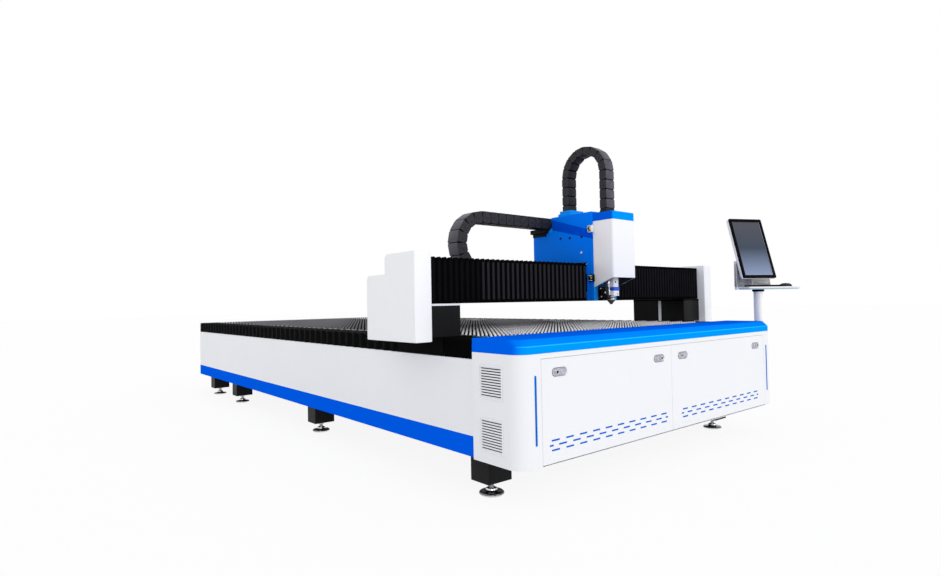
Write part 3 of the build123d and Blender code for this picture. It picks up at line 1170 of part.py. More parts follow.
# The white Z cover: a sheet box open at the bottom and the back, with slanted lower side edges
z_back = housing_front - Z_GAP
z_front = z_back - Z_COVER_DEPTH
with BuildPart() as z_cover:
    with BuildSketch(Plane.YZ.offset(carriage_left)):
        with BuildLine():
            Polyline((z_back, Z_COVER_BOTTOM - Z_COVER_DROP), (z_back, Z_COVER_TOP), (z_front, Z_COVER_TOP),
                     (z_front, Z_COVER_BOTTOM), (z_front + Z_COVER_SHEET, Z_COVER_BOTTOM), close=True)
        make_face()
    extrude(amount=CARRIAGE_WIDTH)
    fillet(z_cover.edges().filter_by(Axis.Z).group_by(Axis.Y)[0], Z_CORNER)
    with BuildSketch(Plane.XY.offset(Z_COVER_BOTTOM - Z_COVER_DROP)):
        with Locations((carriage_middle, (z_front + Z_COVER_SHEET + z_back) / 2)):
            room = Rectangle(CARRIAGE_WIDTH - 2 * Z_COVER_SHEET, Z_COVER_DEPTH - Z_COVER_SHEET)
        fillet(room.vertices().group_by(Axis.Y)[0], Z_CORNER - Z_COVER_SHEET)
    extrude(amount=Z_COVER_TOP - Z_COVER_BOTTOM + Z_COVER_DROP, mode=Mode.SUBTRACT)
z_cover.part.label = "z_cover"
export_step(z_cover.part, "parts/z_cover.step")

# The blue cap on the Z cover: a shell that clears the rails, with the foot of the head's chain
with BuildPart() as z_cap:
    with BuildSketch(Plane.XY.offset(Z_COVER_TOP)):
        with Locations((carriage_middle, (z_front + z_back) / 2)):
            cap = Rectangle(CARRIAGE_WIDTH, Z_COVER_DEPTH)
        fillet(cap.vertices().group_by(Axis.Y)[0], Z_CORNER)
    extrude(amount=Z_CAP_HEIGHT)
    with BuildSketch(Plane.XY.offset(Z_COVER_TOP)):
        with Locations((carriage_middle, (z_front + Z_COVER_SHEET + z_back) / 2)):
            room = Rectangle(CARRIAGE_WIDTH - 2 * Z_COVER_SHEET, Z_COVER_DEPTH - Z_COVER_SHEET)
        fillet(room.vertices().group_by(Axis.Y)[0], Z_CORNER - Z_COVER_SHEET)
    extrude(amount=Z_CAP_HEIGHT - Z_COVER_SHEET, mode=Mode.SUBTRACT)
    with BuildSketch(Plane.XY.offset(Z_COVER_TOP)):
        with Locations((carriage_middle, z_back - Z_RAIL / 2)):
            with GridLocations(Z_RAIL_SPACING, 0, 2, 1):
                Rectangle(Z_RAIL + 4 * Z_GAP, Z_RAIL + 2 * Z_GAP)
    extrude(amount=Z_CAP_HEIGHT, mode=Mode.SUBTRACT)
    with BuildSketch(Plane.XY.offset(Z_COVER_TOP + Z_CAP_HEIGHT)):
        with Locations((foot_x, from_front(HEAD_CHAIN_FRONT) + HEAD_CHAIN_THICKNESS / 2)):
            Rectangle(HEAD_CHAIN_WIDTH, HEAD_CHAIN_THICKNESS)
    extrude(amount=chain_foot - Z_COVER_TOP - Z_CAP_HEIGHT)
z_cap.part.label = "z_cap"
export_step(z_cap.part, "parts/z_cap.step")

# The upright chain from the carriage to the head
chain_solid("head_chain",
            Plane(origin=(from_left(HEAD_CHAIN_LEFT), (rear_leg + from_front(HEAD_CHAIN_FRONT)
                                                       + HEAD_CHAIN_THICKNESS / 2) / 2, head_bend),
                  x_dir=(0, 0, -1), z_dir=(1, 0, 0)),
            HEAD_CHAIN_WIDTH, HEAD_CHAIN_THICKNESS, HEAD_CHAIN_RADIUS, HEAD_CHAIN_LINKS)

# The cutting head: an arm from the slide, a body with a ring around it and a coned nozzle
head_x = from_left(HEAD_X)
head_y = from_front(HEAD_Y)
with BuildPart() as laser_head:
    with BuildSketch(Plane.XY.offset(HEAD_BOTTOM)):
        with Locations((head_x, head_y)):
            RectangleRounded(HEAD_WIDTH, HEAD_DEPTH, HEAD_WIDTH / 12)
    extrude(amount=HEAD_TOP - HEAD_BOTTOM)
    with BuildSketch(Plane.XY.offset(HEAD_TOP - Z_ARM)):
        with Locations((head_x, (head_y + slide_back - Z_SLIDE_THICKNESS) / 2)):
            Rectangle(HEAD_WIDTH, slide_back - Z_SLIDE_THICKNESS - head_y)
    extrude(amount=Z_ARM)
laser_head.part.label = "laser_head"
export_step(laser_head.part, "parts/laser_head.step")
with BuildPart() as head_ring:
    with BuildSketch(Plane.XY.offset(RING_BOTTOM)):
        with Locations((head_x, head_y)):
            RectangleRounded(HEAD_WIDTH + 2 * RING_PROUD, HEAD_DEPTH + 2 * RING_PROUD, HEAD_WIDTH / 8)
            RectangleRounded(HEAD_WIDTH, HEAD_DEPTH, HEAD_WIDTH / 12, mode=Mode.SUBTRACT)
    extrude(amount=RING_TOP - RING_BOTTOM)
head_ring.part.label = "head_ring"
export_step(head_ring.part, "parts/head_ring.step")
with BuildPart() as nozzle:
    with BuildSketch(Plane.XY.offset(HEAD_BOTTOM)):
        with Locations((head_x, head_y)):
            Circle(NOZZLE_RADIUS)
    with BuildSketch(Plane.XY.offset(NOZZLE_TIP)):
        with Locations((head_x, head_y)):
            Circle(NOZZLE_TIP_RADIUS)
    loft()
nozzle.part.label = "nozzle"
export_step(nozzle.part, "parts/nozzle.step")

# The console's pole, held to the cabinet's side by two clamps
pole_x = cabinet_right + POLE_STAND_OFF
pole_y = from_front(POLE_BACK)
with BuildPart() as console_pole:
    with BuildSketch(Plane.XY.offset(POLE_BOTTOM)):
        with Locations((pole_x, pole_y)):
            Circle(POLE_RADIUS)
    extrude(amount=POLE_TOP - POLE_BOTTOM)
    for z in CLAMP_HEIGHTS:
        with BuildSketch(Plane.XY.offset(z)):
            with Locations(((cabinet_right + pole_x + POLE_RADIUS) / 2, pole_y)):
                Rectangle(pole_x + POLE_RADIUS - cabinet_right, CLAMP_WIDTH)
        extrude(amount=CLAMP_HEIGHT)
    with BuildSketch(Plane.XY.offset(POLE_BOTTOM)):
        with Locations((pole_x, pole_y)):
            Circle(POLE_RADIUS - POLE_WALL)
    extrude(amount=POLE_TOP - POLE_BOTTOM, mode=Mode.SUBTRACT)
console_pole.part.label = "console_pole"
export_step(console_pole.part, "parts/console_pole.step")

# The swivelling console tray: its spigot turns in the pole and its collar rests on the pole
console = Plane.XY.rotated((0, 0, CONSOLE_TURN))
console.origin = (pole_x, pole_y, 0)
tray_bottom = POLE_TOP + COLLAR_HEIGHT
tray_top = tray_bottom + TRAY_TOP_THICKNESS
with BuildPart() as console_tray:
    with BuildSketch(console.offset(POLE_TOP - SPIGOT_LENGTH)):
        Circle(POLE_RADIUS - POLE_WALL - SHAFT_CLEARANCE)
    extrude(amount=SPIGOT_LENGTH)
    with BuildSketch(console.offset(POLE_TOP)):
        Circle(COLLAR_RADIUS)
    extrude(amount=COLLAR_HEIGHT)
    with BuildSketch(console.offset(tray_bottom)):
        with Locations(((CONSOLE_LEFT + CONSOLE_RIGHT) / 2, -(CONSOLE_REAR + CONSOLE_FRONT) / 2)):
            RectangleRounded(CONSOLE_RIGHT - CONSOLE_LEFT, CONSOLE_FRONT - CONSOLE_REAR, KEYBOARD_THICKNESS)
    extrude(amount=TRAY_TOP_THICKNESS)
console_tray.part.label = "console_tray"
export_step(console_tray.part, "parts/console_tray.step")

# The keyboard and the mouse that lie on the tray
with BuildPart() as keyboard:
    with BuildSketch(console.offset(tray_top)):
        with Locations((KEYBOARD_PLACE[0], -KEYBOARD_PLACE[1])):
            RectangleRounded(KEYBOARD_LENGTH, KEYBOARD_DEPTH, KEYBOARD_THICKNESS / 3)
    extrude(amount=KEYBOARD_THICKNESS)
keyboard.part.label = "keyboard"
export_step(keyboard.part, "parts/keyboard.step")
with BuildPart() as mouse:
    with BuildSketch(console.offset(tray_top)):
        with Locations((MOUSE_PLACE[0], -MOUSE_PLACE[1])):
            SlotOverall(MOUSE_LENGTH, MOUSE_WIDTH)
    extrude(amount=MOUSE_HEIGHT)
    fillet(mouse.faces().sort_by(Axis.Z)[-1].edges(), MOUSE_HEIGHT / 3)
mouse.part.label = "mouse"
export_step(mouse.part, "parts/mouse.step")

# The monitor's slanted plane: its X runs along the tray and its Y up the screen
foot_point = console.from_local_coords(Vector(0, -MONITOR_FOOT, MONITOR_BOTTOM))
tilt = radians(MONITOR_TILT)
screen_dir = console.z_dir * sin(tilt) - console.y_dir * cos(tilt)
slant = Plane(origin=foot_point, x_dir=console.x_dir, z_dir=screen_dir)
monitor_x = MONITOR_LEFT + MONITOR_WIDTH / 2
tilt_reach = MONITOR_DEPTH + TILT_RADIUS + BLOCK_LIFT
tilt_rise = BRACKET_PLATE[4] + TILT_RADIUS + 2 * HINGE_PLAY - MONITOR_BOTTOM
tilt_y = (tilt_rise + tilt_reach * sin(tilt)) / cos(tilt)
tilt_plane = slant.offset(-tilt_reach)
tilt_point = tilt_plane.from_local_coords(Vector(monitor_x, tilt_y, 0))
across = Plane(origin=tilt_point, x_dir=console.y_dir, z_dir=console.x_dir)

# The bracket: a box on the tray, a back plate and two ears with the pin that the monitor tilts on
with BuildPart() as monitor_bracket:
    for left, right, near, far, top in (BRACKET_BOX, BRACKET_PLATE):
        with BuildSketch(console.offset(tray_top)):
            with Locations(((left + right) / 2, (near + far) / 2)):
                Rectangle(right - left, far - near)
        extrude(amount=top - tray_top)
    for ear in (-(TILT_LUG / 2 + HINGE_PLAY + TILT_EAR), TILT_LUG / 2 + HINGE_PLAY):
        with BuildSketch(across.offset(ear)):
            Circle(TILT_RADIUS)
            with Locations((0, -TILT_RADIUS)):
                Rectangle(2 * TILT_RADIUS, 2 * TILT_RADIUS)
        extrude(amount=TILT_EAR)
    with BuildSketch(across.offset(-(TILT_LUG / 2 + TILT_EAR))):
        Circle(TILT_PIN)
    extrude(amount=TILT_LUG + 2 * TILT_EAR)
monitor_bracket.part.label = "monitor_bracket"
export_step(monitor_bracket.part, "parts/monitor_bracket.step")

# The monitor's case with its lug on the pin, and the screen in it
with BuildPart() as monitor_case:
    with BuildSketch(slant):
        with Locations((monitor_x, MONITOR_HEIGHT / 2)):
            RectangleRounded(MONITOR_WIDTH, MONITOR_HEIGHT, MONITOR_BEZEL)
    extrude(amount=-MONITOR_DEPTH)
    with BuildSketch(slant):
        with Locations((monitor_x, MONITOR_HEIGHT / 2)):
            Rectangle(MONITOR_WIDTH - 2 * MONITOR_BEZEL, MONITOR_HEIGHT - 2 * MONITOR_BEZEL)
    extrude(amount=-SCREEN_THICKNESS, mode=Mode.SUBTRACT)
    with BuildSketch(slant.offset(-MONITOR_DEPTH)):
        with Locations((monitor_x, tilt_y)):
            Rectangle(TILT_LUG, 2 * TILT_RADIUS)
    extrude(amount=-(TILT_RADIUS + BLOCK_LIFT))
    with BuildSketch(across.offset(-TILT_LUG / 2)):
        Circle(TILT_RADIUS)
    extrude(amount=TILT_LUG)
    with BuildSketch(across.offset(-TILT_LUG / 2)):
        Circle(TILT_PIN + SHAFT_CLEARANCE)
    extrude(amount=TILT_LUG, mode=Mode.SUBTRACT)
monitor_case.part.label = "monitor_case"
export_step(monitor_case.part, "parts/monitor_case.step")
with BuildPart() as monitor_screen:
    with BuildSketch(slant.offset(-SCREEN_THICKNESS)):
        with Locations((monitor_x, MONITOR_HEIGHT / 2)):
            Rectangle(MONITOR_WIDTH - 2 * MONITOR_BEZEL, MONITOR_HEIGHT - 2 * MONITOR_BEZEL)
    extrude(amount=SCREEN_THICKNESS / 2)
monitor_screen.part.label = "monitor_screen"
export_step(monitor_screen.part, "parts/monitor_screen.step")
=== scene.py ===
"""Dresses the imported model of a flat-bed fiber laser cutting machine.

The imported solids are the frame. Each class below holds the sizes of one sub-assembly in millimetres,
builds its detailed meshes in the machine's own frame and gives them their finishes. Forms that the solids
already show well keep them and only get a finish.
"""
from __future__ import annotations

import json
import logging
import math
from dataclasses import dataclass, field
from enum import Enum
from functools import lru_cache
from typing import Callable, Optional, Sequence, Union

import bmesh
import bpy
from mathutils import Matrix, Vector

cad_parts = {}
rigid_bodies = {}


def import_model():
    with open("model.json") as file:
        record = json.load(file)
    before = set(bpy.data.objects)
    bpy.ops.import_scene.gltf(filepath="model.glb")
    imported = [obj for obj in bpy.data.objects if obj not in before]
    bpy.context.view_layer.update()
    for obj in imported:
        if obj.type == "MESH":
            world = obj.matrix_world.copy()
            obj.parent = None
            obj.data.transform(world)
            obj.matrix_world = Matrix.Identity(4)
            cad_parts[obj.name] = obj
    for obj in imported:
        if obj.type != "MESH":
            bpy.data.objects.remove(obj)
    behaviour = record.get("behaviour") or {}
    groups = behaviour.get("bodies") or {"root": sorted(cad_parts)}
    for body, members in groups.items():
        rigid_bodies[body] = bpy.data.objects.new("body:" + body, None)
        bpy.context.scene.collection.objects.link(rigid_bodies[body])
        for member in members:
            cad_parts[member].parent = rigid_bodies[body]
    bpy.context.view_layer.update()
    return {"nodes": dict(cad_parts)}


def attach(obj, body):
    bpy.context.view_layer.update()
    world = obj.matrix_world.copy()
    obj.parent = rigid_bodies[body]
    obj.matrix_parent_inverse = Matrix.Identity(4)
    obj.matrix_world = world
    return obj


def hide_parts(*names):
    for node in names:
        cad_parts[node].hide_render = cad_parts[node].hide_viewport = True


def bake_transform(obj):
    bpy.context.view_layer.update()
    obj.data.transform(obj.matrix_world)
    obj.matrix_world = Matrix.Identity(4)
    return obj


LOG = logging.getLogger("laser_cutter")
MM = 0.001
Flat = tuple[float, float]
Corner = tuple[float, float, float]
Colour = tuple[float, float, float]
Nodes = dict[str, bpy.types.Object]
Weight = Callable[[Vector, float], float]

LEFT, RIGHT, FRONT, BACK = -90.0, 2260.0, -290.0, 15.0
BED_SIDES = (-70.0, 2240.0)
BED_REAR = 4596.0


class Axis(Enum):
    """The axis that an outline is pushed along.

    The value gives the places of the outline's two numbers and of the push.
    """

    X = (1, 2, 0)
    Y = (0, 2, 1)
    Z = (0, 1, 2)

    def at(self, first: float, second: float, along: float) -> Vector:
        """Return the point with the outline's two numbers and the distance along the axis.

        Args:
            first: The outline's first number.
            second: The outline's second number.
            along: The distance along the axis.

        Returns:
            The point.
        """
        point = Vector((0.0, 0.0, 0.0))
        point[self.value[0]], point[self.value[1]], point[self.value[2]] = first, second, along
        return point


def rounded(corners: Sequence[Corner], steps: int = 5) -> list[Flat]:
    """Round an outline's corners.

    Args:
        corners: Corner points as two numbers and a radius.
        steps: The number of segments in each arc.

    Returns:
        The outline's points in order.
    """
    outline: list[Flat] = []
    for index, (x, y, radius) in enumerate(corners):
        here = Vector((x, y))
        if radius <= 0:
            outline.append((x, y))
            continue
        back = (Vector(corners[index - 1][:2]) - here).normalized()
        onward = (Vector(corners[(index + 1) % len(corners)][:2]) - here).normalized()
        half = math.acos(max(-1.0, min(1.0, back.dot(onward)))) / 2
        centre = here + (back + onward).normalized() * radius / math.sin(half)
        first = here + back * radius / math.tan(half) - centre
        last = here + onward * radius / math.tan(half) - centre
        start = math.atan2(first.y, first.x)
        sweep = (math.atan2(last.y, last.x) - start + math.pi) % (2 * math.pi) - math.pi
        for step in range(steps + 1):
            angle = start + sweep * step / steps
            outline.append((centre.x + radius * math.cos(angle), centre.y + radius * math.sin(angle)))
    return outline


def slot_outline(centre: Flat, length: float, height: float, steps: int = 8) -> list[Flat]:
    """Return an oblong with round ends about a centre.

    Args:
        centre: The middle of the oblong.
        length: Its size along the first number.
        height: Its size along the second number.
        steps: The number of segments in each arc.

    Returns:
        The outline's points in order.
    """
    x, y = centre
    a, b, r = length / 2, height / 2, min(length, height) / 2 - 0.01
    return rounded([(x - a, y - b, r), (x + a, y - b, r), (x + a, y + b, r), (x - a, y + b, r)], steps)


def rectangle(x0: float, y0: float, x1: float, y1: float, radius: float = 0.0,
              steps: int = 4) -> list[Flat]:
    """Return a rectangle with round corners between two opposite corners."""
    return rounded([(x0, y0, radius), (x1, y0, radius), (x1, y1, radius), (x0, y1, radius)], steps)


def level(plan: Sequence[Flat], height: float) -> list[Vector]:
    """Return a plan's points at a height."""
    return [Vector((x, y, height)) for x, y in plan]


def feed(tree: bpy.types.NodeTree, value: object, socket: bpy.types.NodeSocket) -> None:
    """Give an input its value, by a link where the value is a socket.

    Args:
        tree: The tree that the input is in.
        value: The socket or the plain value.
        socket: The input.
    """
    if isinstance(value, bpy.types.NodeSocket):
        tree.links.new(value, socket)
    else:
        socket.default_value = value


def reckon(tree: bpy.types.NodeTree, operation: str, *values: object) -> bpy.types.NodeSocket:
    """Add a node that does one sum on sockets and numbers.

    Args:
        tree: The tree to add to.
        operation: The sum's Blender name.
        values: The sockets and numbers in the sum's order.

    Returns:
        The result.
    """
    made = tree.nodes.new("ShaderNodeMath")
    made.operation = operation
    for value, socket in zip(values, made.inputs):
        feed(tree, value, socket)
    return made.outputs["Value"]


class Shader:
    """One node material under construction, with the usual textures as short calls."""

    def __init__(self, name: str, colour: Colour, roughness: float, metal: float = 0.0,
                 gloss: float = 0.5) -> None:
        """Start a material whose even values stand on the shader's own sockets.

        Args:
            name: The material's name.
            colour: The even colour.
            roughness: The even roughness.
            metal: 0 for paint and plastic, 1 for metal.
            gloss: The specular level.
        """
        self.material = bpy.data.materials.new(name)
        self.material.use_nodes = True
        self.tree = self.material.node_tree
        self.surface = self.tree.nodes["Principled BSDF"]
        self.surface.inputs["Base Color"].default_value = (*colour, 1.0)
        self.surface.inputs["Roughness"].default_value = roughness
        self.surface.inputs["Metallic"].default_value = metal
        self.surface.inputs["Specular IOR Level"].default_value = gloss
        self.colour = colour
        self.roughness = roughness
        self.place = self.tree.nodes.new("ShaderNodeTexCoord").outputs["Object"]
        self.relief: Optional[bpy.types.NodeSocket] = None

    def node(self, kind: str, **inputs: object) -> bpy.types.Node:
        """Add a node and feed its inputs.

        Args:
            kind: The node's Blender type.
            inputs: Sockets to link or values to set, by input name.

        Returns:
            The node.
        """
        made = self.tree.nodes.new(kind)
        for key, value in inputs.items():
            feed(self.tree, value, made.inputs[key.replace("_", " ")])
        return made

    def stretched(self, scale: tuple[float, float, float]) -> bpy.types.NodeSocket:
        """Return the object's coordinates with each axis scaled."""
        return self.node("ShaderNodeMapping", Vector=self.place, Scale=scale).outputs["Vector"]

    def noise(self, scale: float, detail: float = 2.0,
              where: Optional[bpy.types.NodeSocket] = None) -> bpy.types.NodeSocket:
        """Return a cloud texture with so many cells to the metre."""
        return self.node("ShaderNodeTexNoise", Vector=where or self.place, Scale=scale,
                         Detail=detail).outputs["Fac"]

    def height(self, axis: int) -> bpy.types.NodeSocket:
        """Return one coordinate of the object's own place, in metres."""
        return self.node("ShaderNodeSeparateXYZ", Vector=self.place).outputs[axis]

    def span(self, value: bpy.types.NodeSocket, low: float, high: float, start: float,
             end: float) -> bpy.types.NodeSocket:
        """Map a value between low and high onto start to end, smoothly and clamped.

        Args:
            value: The value to map.
            low: Where the span starts.
            high: Where the span ends.
            start: The result at low.
            end: The result at high.

        Returns:
            The mapped value.
        """
        made = self.node("ShaderNodeMapRange", Value=value)
        made.interpolation_type = "SMOOTHSTEP"
        for key, number in zip(("From Min", "From Max", "To Min", "To Max"), (low, high, start, end)):
            made.inputs[key].default_value = number
        return made.outputs["Result"]

    def tint(self, factor: bpy.types.NodeSocket, first: Colour, second: Colour) -> None:
        """Colour the surface from first to second by a factor.

        Args:
            factor: 0 for the first colour, 1 for the second.
            first: The first colour.
            second: The second colour.
        """
        mix = self.tree.nodes.new("ShaderNodeMix")
        mix.data_type = "RGBA"
        self.tree.links.new(factor, mix.inputs["Factor"])
        mix.inputs[6].default_value = (*first, 1.0)
        mix.inputs[7].default_value = (*second, 1.0)
        self.tree.links.new(mix.outputs[2], self.surface.inputs["Base Color"])

    def shade(self, factor: bpy.types.NodeSocket, spread: float) -> None:
        """Vary the surface's one colour lighter and darker by a factor.

        Args:
            factor: 0 for darker, 1 for lighter.
            spread: The share of the colour to vary by.
        """
        low = tuple(c * (1 - spread) for c in self.colour)
        high = tuple(min(1.0, c * (1 + spread)) for c in self.colour)
        self.tint(factor, low, high)

    def wear(self, factor: bpy.types.NodeSocket, spread: float) -> None:
        """Vary the roughness about its even value."""
        low, high = max(0.02, self.roughness - spread), min(1.0, self.roughness + spread)
        self.tree.links.new(self.span(factor, 0.3, 0.7, low, high), self.surface.inputs["Roughness"])

    def bump(self, texture: bpy.types.NodeSocket, depth: float) -> None:
        """Raise the surface by a texture; a later bump adds to an earlier one.

        Args:
            texture: The height texture.
            depth: Its full depth in metres.
        """
        made = self.node("ShaderNodeBump", Height=texture, Strength=1.0, Distance=depth)
        if self.relief:
            self.tree.links.new(self.relief, made.inputs["Normal"])
        self.relief = made.outputs["Normal"]
        self.tree.links.new(self.relief, self.surface.inputs["Normal"])


@dataclass(frozen=True)
class PowderCoat:
    """Powder paint on sheet metal: a fine orange peel and faint cloudiness."""

    name: str
    colour: Colour
    roughness: float = 0.38
    gloss: float = 0.35
    peel: float = 0.00006

    @lru_cache(maxsize=None)
    def material(self) -> bpy.types.Material:
        """Return the one material of this finish.

        Returns:
            The material, made once.
        """
        shader = Shader(self.name, self.colour, self.roughness, gloss=self.gloss)
        shader.shade(shader.noise(1.7, 3.0), 0.025)
        shader.wear(shader.noise(9.0, 4.0), 0.05)
        shader.bump(shader.noise(420.0, 1.0), self.peel)
        return shader.material


@dataclass(frozen=True)
class FacingShadedPaint:
    """Painted light and shade: one colour on faces turned to the front and another elsewhere, tuned to the
    photograph's light.
    """

    name: str
    colour: Colour
    front_shading: Colour
    roughness: float = 0.34
    gloss: float = 0.02

    @lru_cache(maxsize=None)
    def material(self) -> bpy.types.Material:
        """Return the one material of this finish.

        Returns:
            The material, made once.
        """
        shader = Shader(self.name, self.colour, self.roughness, gloss=self.gloss)
        # Painted light and shade: the colour blends towards front_shading as the face turns to the front.
        normal = shader.tree.nodes.new("ShaderNodeNewGeometry").outputs["Normal"]
        turn = shader.node("ShaderNodeVectorMath")
        turn.operation = "DOT_PRODUCT"
        shader.tree.links.new(normal, turn.inputs[0])
        turn.inputs[1].default_value = (0.0, -1.0, 0.0)
        shader.tint(shader.span(turn.outputs["Value"], 0.25, 1.0, 0.0, 1.0), self.colour, self.front_shading)
        shader.wear(shader.noise(7.0, 3.0), 0.04)
        shader.bump(shader.noise(400.0, 1.0), 0.00005)
        return shader.material


@dataclass(frozen=True)
class CoatedFabric:
    """Rubber-coated bellows cloth with a fine weave; with a fade it darkens along X to a painted shade,
    without one it varies at random.
    """

    name: str
    colour: Colour
    shadowed: Colour
    fade: Optional[Flat] = None

    @lru_cache(maxsize=None)
    def material(self) -> bpy.types.Material:
        """Return the one material; fade is the X span over which it turns from shadowed to its colour.

        Returns:
            The material, made once.
        """
        shader = Shader(self.name, self.colour, 0.62, gloss=0.02)
        if self.fade:
            # Painted shade: darker towards low X across the fade span.
            across = shader.height(0)
            shader.tint(shader.span(across, self.fade[0], self.fade[1], 0.0, 1.0), self.shadowed,
                        self.colour)
        else:
            shader.tint(shader.noise(14.0, 4.0), self.shadowed, self.colour)
        weave = shader.node("ShaderNodeTexWave", Vector=shader.place, Scale=260.0, Distortion=0.4)
        cross = shader.node("ShaderNodeTexWave", Vector=shader.place, Scale=260.0, Distortion=0.4)
        cross.bands_direction = "Z"
        shader.bump(weave.outputs["Fac"], 0.00008)
        shader.bump(cross.outputs["Fac"], 0.00008)
        shader.wear(shader.noise(30.0, 3.0), 0.08)
        return shader.material


@dataclass(frozen=True)
class MouldedPlastic:
    """Moulded plastic with a spark-eroded grain."""

    name: str
    colour: Colour
    roughness: float = 0.45
    gloss: float = 0.3
    grain: float = 0.00008
    mottle: float = 0.06

    @lru_cache(maxsize=None)
    def material(self) -> bpy.types.Material:
        """Return the one material of this finish.

        Returns:
            The material, made once.
        """
        shader = Shader(self.name, self.colour, self.roughness, gloss=self.gloss)
        shader.shade(shader.noise(120.0, 5.0), self.mottle)
        shader.wear(shader.noise(25.0, 3.0), 0.07)
        shader.bump(shader.noise(900.0, 2.0), self.grain)
        return shader.material


@dataclass(frozen=True)
class Metal:
    """Bare or plated metal with fine machining lines along one axis."""

    name: str
    colour: Colour
    roughness: float = 0.28
    lines: tuple[float, float, float] = (1.0, 1.0, 30.0)
    depth: float = 0.00001
    mottle: float = 0.06

    @lru_cache(maxsize=None)
    def material(self) -> bpy.types.Material:
        """Return the one material of this finish.

        Returns:
            The material, made once.
        """
        shader = Shader(self.name, self.colour, self.roughness, metal=1.0)
        shader.shade(shader.noise(40.0, 4.0), self.mottle)
        shader.wear(shader.noise(35.0, 4.0), 0.07)
        shader.bump(shader.noise(90.0, 3.0, shader.stretched(self.lines)), self.depth)
        return shader.material


@dataclass(frozen=True)
class CutSteel:
    """Laser-cut mild steel: a dark plate, partly scale and partly painted shade, and tips with a painted
    highlight.

    The painted highlight fades back along the bed, tuned to how the photograph shows them.
    """

    name: str = "slat_steel_cut"
    plate: Colour = (0.006, 0.006, 0.008)
    tip: Colour = (0.96, 0.95, 0.99)
    span: Flat = (0.7045, 0.7075)
    highlight_fade_span: Flat = (0.50, 1.15)
    far_highlight_level: float = 0.22

    @lru_cache(maxsize=None)
    def material(self) -> bpy.types.Material:
        """Return the one material of this finish.

        Returns:
            The material, made once.
        """
        shader = Shader(self.name, self.plate, 0.6, gloss=0.04)
        lifted = reckon(shader.tree, "MULTIPLY_ADD", shader.noise(70.0, 4.0), 0.006, shader.height(2))
        # Painted highlight on the tips, dimmed back along the bed; the near-black plate colour is partly
        # painted shade.
        bright = shader.span(lifted, self.span[0] + 0.003, self.span[1] + 0.003, 0.0, 1.0)
        along = shader.span(shader.height(1), self.highlight_fade_span[0], self.highlight_fade_span[1], 1.0, self.far_highlight_level)
        shader.tint(reckon(shader.tree, "MULTIPLY", bright, along), self.plate, self.tip)
        shader.wear(shader.noise(120.0, 3.0), 0.12)
        shader.bump(shader.noise(300.0, 3.0, shader.stretched((1.0, 1.0, 0.15))), 0.00012)
        return shader.material


@dataclass(frozen=True)
class ScreenPanel:
    """A switched-off glossy panel with a painted pale reflection towards its foot."""

    name: str = "screen_glass_panel"
    top: Colour = (0.082, 0.080, 0.104)
    middle: Colour = (0.050, 0.068, 0.098)
    foot: Colour = (0.25, 0.31, 0.47)
    span: Flat = (1.04, 1.40)

    @lru_cache(maxsize=None)
    def material(self) -> bpy.types.Material:
        """Return the one material of this finish.

        Returns:
            The material, made once.
        """
        shader = Shader(self.name, self.top, 0.2, gloss=0.03)
        height = reckon(shader.tree, "MULTIPLY_ADD", shader.noise(3.0, 2.0), 0.02, shader.height(2))
        rise = shader.node("ShaderNodeMapRange", Value=height, From_Min=self.span[0], From_Max=self.span[1])
        ramp = shader.node("ShaderNodeValToRGB", Fac=rise.outputs["Result"])
        # The foot colour is a painted reflection.
        ramp.color_ramp.elements[0].color = (*self.foot, 1.0)
        ramp.color_ramp.elements[1].color = (*self.top, 1.0)
        ramp.color_ramp.elements.new(0.52).color = (*self.middle, 1.0)
        shader.tree.links.new(ramp.outputs["Color"], shader.surface.inputs["Base Color"])
        shader.bump(shader.noise(150.0, 1.0), 0.000004)
        return shader.material


Finish = Union[PowderCoat, FacingShadedPaint, CoatedFabric, MouldedPlastic, Metal, CutSteel, ScreenPanel]

WHITE = PowderCoat("white_paint_coat", (0.838, 0.848, 0.875))
# COVER_WHITE, COVER_FAR and HEAD_WHITE are lit copies of the white paint, each brightened for its own piece
# against the shade it stands in.
COVER_WHITE = FacingShadedPaint("white_paint_cover", (0.868, 0.874, 0.890), (0.925, 0.930, 0.945), 0.4, 0.2)
COVER_FAR = FacingShadedPaint("white_paint_far", (0.965, 0.966, 0.97), (0.955, 0.957, 0.962), 0.4, 0.2)
HEAD_WHITE = FacingShadedPaint("white_paint_head", (0.945, 0.93, 0.95), (0.888, 0.895, 0.905), 0.36, 0.3)
# Near-black paint for the inner faces of the white Z cover: a painted shade.
COVER_INSIDE_SHADE = PowderCoat("white_paint_shade", (0.035, 0.035, 0.038), 0.6, 0.1)
BLUE = FacingShadedPaint("blue_paint_gloss", (0.0, 0.122, 0.84), (0.0, 0.31, 1.0), 0.5, 0.0)
SKIRT_BLUE = FacingShadedPaint("blue_paint_skirt", (0.0, 0.112, 0.83), (0.0, 0.20, 0.95), 0.45, 0.0)
# CARRIAGE_BLUE is a lit copy of the blue paint, brightened against the shade on the carriage's sides.
CARRIAGE_BLUE = FacingShadedPaint("blue_paint_carriage", (0.0, 0.20, 1.0), (0.0, 0.30, 1.0))
# A lighter blue for the hood's fold: a painted highlight.
FOLD_HIGHLIGHT_BLUE = FacingShadedPaint("blue_paint_fold_highlight", (0.0, 0.22, 0.95), (0.02, 0.50, 1.0), 0.45, 0.0)
STRIP_BLUE = FacingShadedPaint("blue_paint_strip", (0.0, 0.11, 0.60), (0.0, 0.135, 0.62), 0.45, 0.0)
# A darker blue for faces turned down: a painted shade.
UNDERSIDE_SHADE_BLUE = FacingShadedPaint("blue_paint_underside_shade", (0.0, 0.085, 0.74), (0.0, 0.12, 0.80), 0.45, 0.0)
